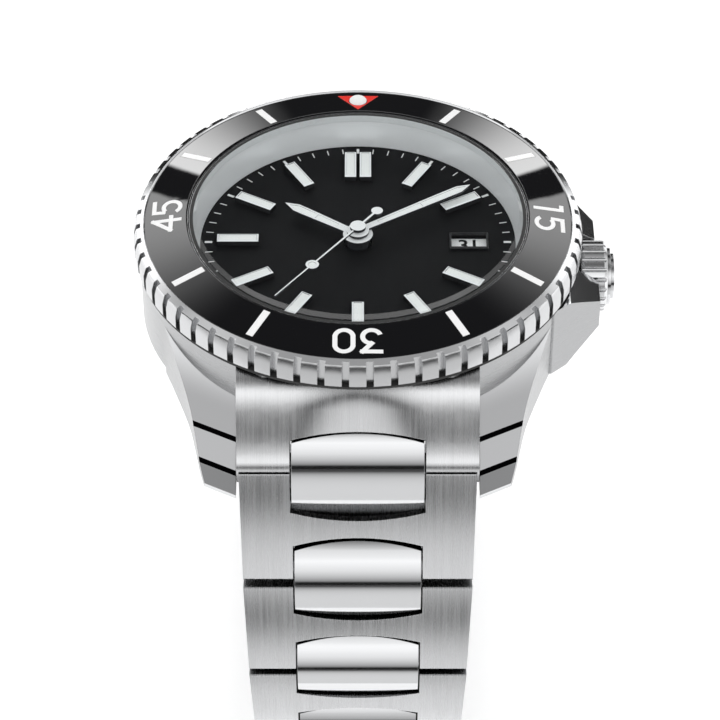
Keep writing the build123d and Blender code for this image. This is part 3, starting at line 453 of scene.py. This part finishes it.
def luminous(name="luminous_filling"):
    """Matt white filling with a fine grain, and painted shade in the narrow corners at its edges."""
    paint = Finish(name, rgba(colours().filling), 0.0, 0.5)
    grain = paint.noise(paint.place(), 9000.0, 3.0)
    tone = paint.mixed(grain, rgba(colours().filling, 0.86), rgba(colours().filling, 1.0))
    # painted shade: a thin dark line in the corners at the filling's edges
    paint.set("Base Color", paint.shaded(tone, 0.14 * MM, 0.1))
    paint.set("Roughness", grain * 0.2 + 0.35)
    paint.bumped(grain, 0.000004)
    return paint.material


def glass():
    """Sapphire: clear, with a mirror film and a polished edge."""
    material = bpy.data.materials.new("sapphire")
    material.use_nodes = True
    sheet = Sheet(material.node_tree)
    sheet.tree.nodes.remove(sheet.tree.nodes["Principled BSDF"])
    film = sheet.node("ShaderNodeFresnel", {}, 1.3)
    front = 1.0 - sheet.node("ShaderNodeNewGeometry", {}, out="Backfacing")
    clear = sheet.node("ShaderNodeBsdfTransparent", {}, (0.97, 0.98, 0.98, 1))
    mirror = sheet.node("ShaderNodeBsdfPrincipled", {}, Base_Color=(1, 1, 1, 1), Metallic=1.0, Roughness=0.02)
    edge = sheet.radius().step(14.98 * MM, 15.1 * MM)
    whole = sheet.node("ShaderNodeMixShader", {}, (film * 0.12 + edge * 0.1) * front, clear, mirror)
    sheet.feed(sheet.tree.nodes["Material Output"].inputs["Surface"], whole)
    return material


def plain(name, base, metallic, rough, scale=1500.0, swing=0.12, bump=0.000003, **constants):
    """A finish with a fine even grain."""
    paint = Finish(name, rgba(base), metallic, rough, **constants)
    grain = paint.noise(paint.place(), scale, 3.0)
    paint.set("Base Color", paint.mixed(grain, rgba(base, 1 - swing), rgba(base, 1 + swing)))
    paint.set("Roughness", grain * 0.16 + (rough - 0.08))
    paint.bumped(grain, bump, sizes().edge_radius)
    return paint.material


def nylon():
    """Pale gasket round the crystal, with painted shade making its level faces dark."""
    paint = Finish("nylon", (0.75, 0.76, 0.77, 1), 0.0, 0.45)
    grain = paint.noise(paint.place(), 4000.0, 3.0)
    pale = paint.mixed(grain, (0.70, 0.71, 0.72, 1), (0.82, 0.83, 0.84, 1))
    # painted shade: level faces near black, upright faces pale
    paint.set("Base Color", paint.mixed(paint.side(), (0.02, 0.02, 0.02, 1), pale))
    paint.set("Roughness", grain * 0.2 + 0.35)
    return paint.material


def marker_steel():
    """Polished marker frames, brighter than the steel as painted highlight, with painted shade on their
    upright sides and on the date window's frame.
    """
    paint = Finish("marker_steel", rgba(colours().steel, 1.4), 0.12, 0.12)
    x, y = paint.parts(paint.place())[:2]
    window = x.step(8.5 * MM, 8.55 * MM) * (1.0 - abs(y).step(1.25 * MM, 1.3 * MM))
    marks = paint.noise(paint.place(), 3000.0, 2.0)
    # painted highlight: frames brighter than the steel; painted shade: upright sides near black
    bright = paint.mixed(paint.side(), rgba(colours().steel, 1.45), (0.03, 0.03, 0.032, 1))
    # painted shade: the date window's frame dark
    paint.set("Base Color", paint.mixed(window, bright, (0.02, 0.02, 0.022, 1)))
    paint.set("Roughness", marks * 0.06 + window * 0.25 + 0.05)
    paint.bumped(marks, 0.0000004, sizes().edge_radius * 0.4)
    return paint.material


def hand_steel():
    """Bright hands, with painted shade making their sides dark."""
    paint = Finish("hand_steel", (0.93, 0.93, 0.94, 1), 0.12, 0.16)
    grain = paint.noise(paint.place(), 3000.0, 3.0)
    bright = paint.mixed(grain, (0.9, 0.9, 0.91, 1), (0.98, 0.98, 0.99, 1))
    # painted shade: upright sides near black
    paint.set("Base Color", paint.mixed(paint.side(), bright, (0.04, 0.04, 0.045, 1)))
    paint.set("Roughness", grain * 0.12 + 0.08)
    paint.bumped(grain, 0.0000005, sizes().edge_radius)
    return paint.material


# ---- Geometry Nodes

def closed_smooth_tree():
    """Joins a node's triangles and keeps edges sharper than the limit crisp."""
    tree = bpy.data.node_groups.new("crisp_edges", "GeometryNodeTree")
    tree.interface.new_socket("Geometry", in_out="INPUT", socket_type="NodeSocketGeometry")
    limit = tree.interface.new_socket("Edge angle", in_out="INPUT", socket_type="NodeSocketFloat")
    limit.default_value = radians(28)
    tree.interface.new_socket("Geometry", in_out="OUTPUT", socket_type="NodeSocketGeometry")
    nodes, links = tree.nodes, tree.links
    source, sink = nodes.new("NodeGroupInput"), nodes.new("NodeGroupOutput")
    weld = nodes.new("GeometryNodeMergeByDistance")
    weld.inputs["Distance"].default_value = 1e-7
    faces = nodes.new("GeometryNodeSetShadeSmooth")
    faces.domain = "FACE"
    faces.inputs["Shade Smooth"].default_value = True
    edges = nodes.new("GeometryNodeSetShadeSmooth")
    edges.domain = "EDGE"
    angle = nodes.new("GeometryNodeInputMeshEdgeAngle")
    sharper = nodes.new("FunctionNodeCompare")
    sharper.operation = "LESS_THAN"
    links.new(source.outputs["Geometry"], weld.inputs["Geometry"])
    links.new(weld.outputs["Geometry"], faces.inputs["Geometry"])
    links.new(faces.outputs["Geometry"], edges.inputs["Geometry"])
    links.new(angle.outputs["Unsigned Angle"], sharper.inputs["A"])
    links.new(source.outputs["Edge angle"], sharper.inputs["B"])
    links.new(sharper.outputs["Result"], edges.inputs["Shade Smooth"])
    links.new(edges.outputs["Geometry"], sink.inputs["Geometry"])
    return tree


def tick_tree():
    """A ring of flat blocks, all pointing at the centre."""
    tree = bpy.data.node_groups.new("tick_ring", "GeometryNodeTree")
    tree.interface.new_socket("Geometry", in_out="INPUT", socket_type="NodeSocketGeometry")
    inputs = (("Count", "NodeSocketInt"), ("Radius", "NodeSocketFloat"), ("Length", "NodeSocketFloat"),
              ("Width", "NodeSocketFloat"), ("Thickness", "NodeSocketFloat"), ("Height", "NodeSocketFloat"),
              ("Material", "NodeSocketMaterial"))
    for name, kind in inputs:
        tree.interface.new_socket(name, in_out="INPUT", socket_type=kind)
    tree.interface.new_socket("Geometry", in_out="OUTPUT", socket_type="NodeSocketGeometry")
    nodes, links = tree.nodes, tree.links
    source, sink = nodes.new("NodeGroupInput"), nodes.new("NodeGroupOutput")
    ring = nodes.new("GeometryNodeMeshCircle")
    links.new(source.outputs["Count"], ring.inputs["Vertices"])
    links.new(source.outputs["Radius"], ring.inputs["Radius"])
    size = nodes.new("ShaderNodeCombineXYZ")
    for socket, name in zip(size.inputs, ("Length", "Width", "Thickness")):
        links.new(source.outputs[name], socket)
    block = nodes.new("GeometryNodeMeshCube")
    links.new(size.outputs[0], block.inputs["Size"])
    where = nodes.new("GeometryNodeInputPosition")
    turn = nodes.new("FunctionNodeAlignRotationToVector")
    turn.axis = "X"
    links.new(where.outputs[0], turn.inputs["Vector"])
    copies = nodes.new("GeometryNodeInstanceOnPoints")
    links.new(ring.outputs["Mesh"], copies.inputs["Points"])
    links.new(block.outputs["Mesh"], copies.inputs["Instance"])
    links.new(turn.outputs[0], copies.inputs["Rotation"])
    lift = nodes.new("ShaderNodeCombineXYZ")
    links.new(source.outputs["Height"], lift.inputs[2])
    move = nodes.new("GeometryNodeTransform")
    real = nodes.new("GeometryNodeRealizeInstances")
    paint = nodes.new("GeometryNodeSetMaterial")
    links.new(copies.outputs[0], move.inputs["Geometry"])
    links.new(lift.outputs[0], move.inputs["Translation"])
    links.new(move.outputs[0], real.inputs[0])
    links.new(real.outputs[0], paint.inputs["Geometry"])
    links.new(source.outputs["Material"], paint.inputs["Material"])
    links.new(paint.outputs[0], sink.inputs["Geometry"])
    return tree


def set_input(modifier, name, value):
    """Sets a modifier's input by its socket's identifier."""
    for item in modifier.node_group.interface.items_tree:
        if item.name == name and item.in_out == "INPUT":
            modifier[item.identifier] = value
            return
    raise RuntimeError(f"the tree has no input {name}")


def ring_of_ticks(name, **values):
    """A plain mesh made by the tick tree."""
    tree = bpy.data.node_groups.get("tick_ring") or tick_tree()
    seed = bpy.data.objects.new(name + "_seed", bpy.data.meshes.new(name + "_seed"))
    bpy.context.scene.collection.objects.link(seed)
    modifier = seed.modifiers.new("ticks", "NODES")
    modifier.node_group = tree
    for key, value in values.items():
        set_input(modifier, key, value)
    bpy.context.view_layer.update()
    mesh = bpy.data.meshes.new_from_object(seed.evaluated_get(bpy.context.evaluated_depsgraph_get()))
    seed.modifiers.remove(modifier)
    bpy.data.objects.remove(seed)
    return linked(name, mesh)


# ---- meshes

def linked(name, mesh):
    """An object of the mesh, in the scene."""
    mesh.name = name
    piece = bpy.data.objects.new(name, mesh)
    bpy.context.scene.collection.objects.link(piece)
    return piece


def block_of(outline, low, high, bevel):
    """Closed prism of one outline, its upper edge cut back."""
    work = bmesh.new()
    count = len(outline)
    middle = Vector((sum(p[0] for p in outline) / count, sum(p[1] for p in outline) / count))
    rings = []
    for level, inset in ((low, 0.0), (high - bevel, 0.0), (high, bevel)):
        ring = []
        for point in outline:
            away = Vector(point) - middle
            away *= max(0.0, 1 - inset / max(away.length, 1e-9))
            ring.append(work.verts.new((middle.x + away.x, middle.y + away.y, level)))
        rings.append(ring)
    for below, above in zip(rings, rings[1:]):
        for k in range(count):
            j = (k + 1) % count
            work.faces.new((below[k], below[j], above[j], above[k]))
    work.faces.new(rings[-1])
    work.faces.new(list(reversed(rings[0])))
    bmesh.ops.recalc_face_normals(work, faces=work.faces)
    mesh = bpy.data.meshes.new("block")
    work.to_mesh(mesh)
    work.free()
    return mesh


def square_ring(name, radii, levels, count):
    """Closed ring of a rectangular section."""
    (inner, outer), (low, high) = radii, levels
    work = bmesh.new()
    rings = []
    for radius, level in ((inner, low), (inner, high), (outer, high), (outer, low)):
        turns = [tau * k / count for k in range(count)]
        rings.append([work.verts.new((radius * cos(a), radius * sin(a), level)) for a in turns])
    for a, b in zip(rings, rings[1:] + rings[:1]):
        for k in range(count):
            j = (k + 1) % count
            work.faces.new((a[k], b[k], b[j], a[j]))
    bmesh.ops.recalc_face_normals(work, faces=work.faces)
    mesh = bpy.data.meshes.new(name)
    work.to_mesh(mesh)
    work.free()
    return mesh


def turned_clock(mesh, angle):
    """Turns a mesh from 12 o'clock by a clock angle in degrees."""
    mesh.transform(Matrix.Rotation(-radians(angle), 4, "Z"))
    return mesh


def joined_mesh(name, meshes):
    """One mesh of several."""
    work = bmesh.new()
    for mesh in meshes:
        work.from_mesh(mesh)
    whole = bpy.data.meshes.new(name)
    work.to_mesh(whole)
    work.free()
    return whole


def paint_piece(piece, material):
    piece.data.materials.clear()
    piece.data.materials.append(material)
    return piece


def crisp(piece, limit):
    """Live modifier that joins the triangles of a CAD node and smooths its curved faces."""
    modifier = piece.modifiers.new("crisp_edges", "NODES")
    modifier.node_group = bpy.data.node_groups.get("crisp_edges") or closed_smooth_tree()
    set_input(modifier, "Edge angle", radians(limit))


def dress(names, material, limit=28.0):
    """Gives CAD nodes their finish. Edges sharper than the limit, in degrees, stay crisp."""
    for name in names:
        piece = NODES[name]
        paint_piece(piece, material)
        crisp(piece, limit)


def add(piece, body, material=None):
    """An added piece rides on its body."""
    if material:
        paint_piece(piece, material)
    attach(piece, body)


def named(start):
    """The CAD nodes whose names start so."""
    return sorted(name for name in NODES if name.startswith(start))


# ---- operators

class CaseOperator(bpy.types.Operator):
    """Finishes the case, its back, the crown tube and the end links"""
    bl_idname = "watch.case"
    bl_label = "Case"

    def execute(self, context):
        dress(["middle_case"], case_steel(), 16.0)
        dress(["case_back"], turned_steel("back_steel"))
        dress(["crown_tube", "lug_bars"], polished_steel("tube_steel"))
        dress(["case_back_gasket"], plain("rubber", (0.012, 0.012, 0.012), 0.0, 0.6))
        dress(["crystal_gasket"], nylon())
        for side, name in ((1, "end_link_12"), (-1, "end_link_6")):
            middle = (0.0, side * END_LINK_MIDDLE[0], END_LINK_MIDDLE[1])
            down = (0.0, side * cos(radians(END_LINK_SLOPE)), -sin(radians(END_LINK_SLOPE)))
            dome = (middle, down, END_LINK_LEAN, 60 * MM)
            dress([name], brushed_steel(f"{name}_steel", 0.26, dome))
        # a dark gasket ring that stands in for the shade in the gap under the bezel
        ring = square_ring("bezel_shade_gasket", SHADE_GASKET_R, SHADE_GASKET_Z, 180)
        add(linked("bezel_shade_gasket", ring), "case", bpy.data.materials["rubber"])
        return {"FINISHED"}


class BezelOperator(bpy.types.Operator):
    """Finishes the bezel ring, insert, inlay, luminous dot and click spring"""
    bl_idname = "watch.bezel"
    bl_label = "Bezel"

    def execute(self, context):
        dress(["bezel_ring"], ring_steel())
        dress(["bezel_insert"], ceramic())
        dress(["bezel_markers"], bezel_inlay())
        dress(["bezel_pip"], luminous("pip_filling"))
        dress(["bezel_click_spring"], polished_steel("click_steel", 0.15))
        return {"FINISHED"}


class DialOperator(bpy.types.Operator):
    """Finishes the crystal, chapter ring, dial and hour markers, and adds the printed ticks"""
    bl_idname = "watch.dial"
    bl_label = "Dial and crystal"

    def execute(self, context):
        size = sizes()
        dress(["crystal"], glass())
        # chapter ring: steel brightened as painted light, its level faces dark with painted shade
        dress(["chapter_ring"], turned_steel("chapter_steel", 0.34, 0.4, 1.6, True))
        black = plain("dial_black", colours().dial, 0.0, 0.62, 9000.0, 0.25, Specular_IOR_Level=0.12)
        dress(["dial"], black)
        dress(["hour_markers"], marker_steel())
        ink = plain("dial_ink", (0.8, 0.8, 0.8), 0.0, 0.5)
        middle = (size.tick_inner + size.tick_outer) / 2
        length = size.tick_outer - size.tick_inner
        for name, count, width, grow in (("minute_ticks", 60, size.tick_width, 0.0),
                                         ("five_minute_ticks", 12, size.five_width, 0.00001)):
            high = size.print_height + grow
            ticks = ring_of_ticks(name, Count=count, Radius=middle, Length=length, Width=width,
                                  Thickness=high, Height=DIAL_Z + high / 2, Material=ink)
            add(ticks, "case")
        fills = []
        start, end = BATON
        outline = [(-BATON_HALF, start), (BATON_HALF, start), (BATON_HALF, end), (-BATON_HALF, end)]
        shifts = [(30.0 * k, 0.0) for k in range(1, 12) if k != 3] + [(0.0, PAIR_SHIFT), (0.0, -PAIR_SHIFT)]
        for angle, shift in shifts:
            filling = block_of([(x + shift, y) for x, y in outline], BATON_LOW, BATON_HIGH, 0.02 * MM)
            fills.append(turned_clock(filling, angle))
        filling = linked("marker_fillings", joined_mesh("marker_fillings", fills))
        add(filling, "case", luminous())
        return {"FINISHED"}


class HandsOperator(bpy.types.Operator):
    """Finishes the three hands and adds their luminous fillings"""
    bl_idname = "watch.hands"
    bl_label = "Hands"

    def bed(self, hand, name, body):
        """Both fillings of a pointed hand, below and above its bridge."""
        length, width, top, angle = hand
        half = width / 2
        split = length * BRIDGE_SHARE
        wide = length * WIDEST_SHARE
        full = half - BED_EDGE
        shoulder, tip = (length - back for back in POINT)

        def side(y):
            """Half width of the filling at a distance from the centre."""
            return half * (ROOT_SHARE + (1 - ROOT_SHARE) * min(y / wide, 1.0)) - BED_EDGE

        lower = [(-side(BED_START), BED_START), (side(BED_START), BED_START), (side(split), split),
                 (-side(split), split)]
        start = split + BRIDGE
        upper = [(-side(start), start), (side(start), start), (full, wide), (full, shoulder), (0, tip),
                 (-full, shoulder), (-full, wide)]
        blocks = [turned_clock(block_of(o, top - 0.1 * MM, top - 0.02 * MM, 0.015 * MM), angle)
                  for o in (lower, upper)]
        piece = linked(name, joined_mesh(name, blocks))
        add(piece, body, bpy.data.materials["luminous_filling"])

    def execute(self, context):
        dress(["hour_hand", "minute_hand", "seconds_hand"], hand_steel())
        self.bed(HOUR_HAND, "hour_hand_filling", "hour_hand")
        self.bed(MINUTE_HAND, "minute_hand_filling", "minute_hand")
        turns = [tau * k / 32 for k in range(32)]
        ring = [(DOT_R * cos(a), DOT_PLACE + DOT_R * sin(a)) for a in turns]
        dot = block_of(ring, DOT_TOP - 0.08 * MM, DOT_TOP - 0.005 * MM, 0.03 * MM)
        turned_clock(dot, SECONDS_ANGLE)
        add(linked("seconds_hand_filling", dot), "seconds_hand",
            bpy.data.materials["luminous_filling"])
        return {"FINISHED"}


class DateOperator(bpy.types.Operator):
    """Finishes the date disc and prints its figures"""
    bl_idname = "watch.date"
    bl_label = "Date"

    def execute(self, context):
        dress(["date_ring"], plain("date_white", (0.85, 0.85, 0.85), 0.0, 0.5))
        figures = []
        for day in range(1, DAYS + 1):
            curve = bpy.data.curves.new("figure", "FONT")
            curve.body = str(day)
            curve.size = sizes().figure_height * 1.42
            curve.align_x, curve.align_y = "CENTER", "CENTER"
            curve.extrude = 0.01 * MM
            curve.offset = 0.035 * MM
            curve.resolution_u = 3
            curve.space_character = 0.94
            text = bpy.data.objects.new("figure", curve)
            bpy.context.scene.collection.objects.link(text)
            bpy.context.view_layer.update()
            mesh = bpy.data.meshes.new_from_object(text.evaluated_get(context.evaluated_depsgraph_get()))
            bpy.data.objects.remove(text)
            mesh.transform(Matrix.Translation((DATE_R, 0, DATE_Z + 0.01 * MM)))
            mesh.transform(Matrix.Rotation(tau * (DAYS - day) / DAYS, 4, "Z"))
            figures.append(mesh)
        print_ = linked("date_figures", joined_mesh("date_figures", figures))
        add(print_, "date_ring", plain("date_ink", (0.008, 0.008, 0.008), 0.0, 0.5))
        return {"FINISHED"}


class MovementOperator(bpy.types.Operator):
    """Finishes the movement inside the case"""
    bl_idname = "watch.movement"
    bl_label = "Movement"

    def execute(self, context):
        dress(["main_plate", "train_bridge", "rotor", "movement_holder"],
              turned_steel("movement_steel"))
        dress(["balance_wheel", "winding_pinion"], plain("brass", (0.7, 0.5, 0.22), 1.0, 0.25))
        dress(["winding_stem"], polished_steel("stem_steel"))
        return {"FINISHED"}


class CrownOperator(bpy.types.Operator):
    """Finishes the crown"""
    bl_idname = "watch.crown"
    bl_label = "Crown"

    def execute(self, context):
        dress(["crown"], polished_steel("crown_steel", 0.12))
        return {"FINISHED"}


class BraceletOperator(bpy.types.Operator):
    """Finishes the outer links, centre links and pins of the bracelet"""
    bl_idname = "watch.bracelet"
    bl_label = "Bracelet"

    def dome(self, name, side, slope, lean, radius):
        """Middle of a link, the way down it, its lean and its radius."""
        low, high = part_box(name)
        middle = [(a + b) / 2 for a, b in zip(low, high)]
        return middle, (0.0, side * cos(radians(slope)), -sin(radians(slope))), lean, radius

    def execute(self, context):
        for side, half in ((1, "12"), (-1, "6")):
            for k, (slope, lean) in enumerate(zip(LINK_SLOPES, LINK_LEANS), 1):
                name = f"link_{half}_{k}"
                dome = self.dome(name, side, slope, lean, 38 * MM)
                dress([name], brushed_steel(f"link_{half}_steel_{k}", 0.27, dome))
            for k, (slope, lean) in enumerate(zip(CENTRE_SLOPES, CENTRE_LEANS), 1):
                name = f"centre_link_{half}_{k}"
                dome = self.dome(name, side, slope, lean, 60 * MM)
                steel = polished_steel(f"centre_link_{half}_steel_{k}", 0.08, 1.0, dome)
                dress([name], steel)
        dress(named("link_pins"), polished_steel("pin_steel", 0.12))
        return {"FINISHED"}


class ClaspOperator(bpy.types.Operator):
    """Finishes the folding clasp"""
    bl_idname = "watch.clasp"
    bl_label = "Clasp"

    def execute(self, context):
        dress(["clasp_cover"], brushed_steel("cover_steel", 0.28))
        dress(["middle_blade", "inner_blade"], polished_steel("blade_steel", 0.12))
        dress(["blade_pins", "cover_bar"], polished_steel("clasp_pin_steel", 0.12))
        dress(named("push_button"), polished_steel("button_steel", 0.1))
        return {"FINISHED"}


class StageOperator(bpy.types.Operator):
    """Floor, light and camera"""
    bl_idname = "watch.stage"
    bl_label = "Stage"

    def floor(self, stage):
        half = stage.floor_side / 2
        mesh = bpy.data.meshes.new("floor")
        mesh.from_pydata([(-half, -half, FLOOR_Z), (half, -half, FLOOR_Z), (half, half, FLOOR_Z),
                          (-half, half, FLOOR_Z)], [], [(0, 1, 2, 3)])
        piece = linked("floor", mesh)
        paint = Finish("floor_white", (0.96, 0.96, 0.96, 1), 0.0, 0.9)
        paint.set("Specular IOR Level", 0.0)
        paint.set("Emission Color", (1, 1, 1, 1))
        paint.set("Emission Strength", 0.22)
        paint_piece(piece, paint.material)

    def light(self, stage):
        """Even light on matt surfaces; steel mirrors a room of light panels and dark gaps."""
        world = bpy.data.worlds.new("studio")
        bpy.context.scene.world = world
        world.use_nodes = True
        sheet = Sheet(world.node_tree)
        sheet.tree.nodes.clear()
        way = sheet.node("ShaderNodeTexCoord", {}, out="Generated")
        x, y, z = sheet.parts(way)
        back = y.step(-0.05, 0.05)
        aside = abs(x) / y.most(0.05)
        near = sheet.node("ShaderNodeValToRGB", {"stops": [
            (0.0, 0.8), (0.45, 0.8), (0.46, 0.01), (0.518, 0.01), (0.54, 0.36), (0.60, 0.68), (0.68, 1.0),
            (0.80, 1.3), (0.89, 0.95), (0.945, 0.35), (0.985, 0.12), (1.0, 0.3)]}, z * 0.5 + 0.5)
        column = 1.0 - aside.step(0.08, 0.27)
        wide = aside.step(0.9, 1.6)
        panel = z.step(0.2, 0.32) * (1.0 - z.step(0.58, 0.8))
        card = aside.step(0.256, 0.264) * (1.0 - aside.step(0.305, 0.312)) * z.step(0.42, 0.45)
        dim = aside.step(0.3, 0.312) * 0.62
        behind = panel * (1.0 - column) * (1.0 - wide) * (1.0 - card) * (1.0 - dim) * 4.2 + wide * 0.7 + 0.02
        top = z.step(0.86, 0.98)
        behind = behind * (1.0 - top) + top * 0.4
        mirror = near * (1.0 - back) + behind * back
        even = sheet.node("ShaderNodeBackground", {}, (1, 1, 1, 1), stage.fill)
        seen = sheet.node("ShaderNodeBackground", {}, (1, 1, 1, 1), mirror * stage.gloss)
        glossy = sheet.node("ShaderNodeLightPath", {}, out="Is Glossy Ray")
        whole = sheet.node("ShaderNodeMixShader", {}, glossy, even, seen)
        out = sheet.tree.nodes.new("ShaderNodeOutputWorld")
        sheet.feed(out.inputs["Surface"], whole)
        bpy.context.scene.view_settings.view_transform = "Standard"

    def card(self):
        """Graded card far out on the floor that only the steel mirrors, black at its far edge."""
        paint = Finish("card_grey", (0.5, 0.5, 0.5, 1), 0.0, 0.9)
        shade = paint.parts(paint.place())[1].step(-0.42, -0.05)
        paint.set("Base Color", paint.mixed(shade, (0.004, 0.004, 0.004, 1), (0.8, 0.8, 0.8, 1)))
        level = FLOOR_Z + 0.5 * MM
        mesh = bpy.data.meshes.new("card")
        mesh.from_pydata([(-CARD_SIDE, CARD_FAR, level), (CARD_SIDE, CARD_FAR, level),
                          (CARD_SIDE, CARD_NEAR, level), (-CARD_SIDE, CARD_NEAR, level)],
                         [], [(0, 1, 2, 3)])
        piece = paint_piece(linked("card", mesh), paint.material)
        piece.visible_camera = piece.visible_diffuse = False
        piece.visible_shadow = piece.visible_transmission = False

    def camera(self):
        data = bpy.data.cameras.new("camera")
        data.lens = 148.95
        data.sensor_width = 36
        data.clip_start = 0.01
        eye = bpy.data.objects.new("camera", data)
        eye.location = (0.000194, -0.218144, 0.185332)
        eye.rotation_euler = (radians(48.721), 0, 0)
        bpy.context.scene.collection.objects.link(eye)
        bpy.context.scene.camera = eye

    def execute(self, context):
        stage = context.scene.watch_stage
        self.floor(stage)
        self.light(stage)
        self.card()
        self.camera()
        return {"FINISHED"}


STEPS = (CaseOperator, BezelOperator, DialOperator, HandsOperator, DateOperator, MovementOperator,
         CrownOperator, BraceletOperator, ClaspOperator, StageOperator)


class WatchPanel(bpy.types.Panel):
    """Sizes, colours and the operators in order"""
    bl_idname = "VIEW3D_PT_watch"
    bl_label = "Watch"
    bl_space_type = "VIEW_3D"
    bl_region_type = "UI"
    bl_category = "Watch"

    def draw(self, context):
        for group in (context.scene.watch_sizes, context.scene.watch_colours, context.scene.watch_stage):
            for key in group.__annotations__:
                self.layout.prop(group, key)
        for step in STEPS:
            self.layout.operator(step.bl_idname)


CLASSES = (WatchSizes, WatchColours, WatchStage, *STEPS, WatchPanel)


def register():
    for item in CLASSES:
        bpy.utils.register_class(item)
    bpy.types.Scene.watch_sizes = PointerProperty(type=WatchSizes)
    bpy.types.Scene.watch_colours = PointerProperty(type=WatchColours)
    bpy.types.Scene.watch_stage = PointerProperty(type=WatchStage)


def unregister():
    del bpy.types.Scene.watch_stage
    del bpy.types.Scene.watch_colours
    del bpy.types.Scene.watch_sizes
    for item in reversed(CLASSES):
        bpy.utils.unregister_class(item)


def main():
    register()
    for step in STEPS:
        family, name = step.bl_idname.split(".")
        getattr(getattr(bpy.ops, family), name)()


if __name__ == "__main__":
    main()
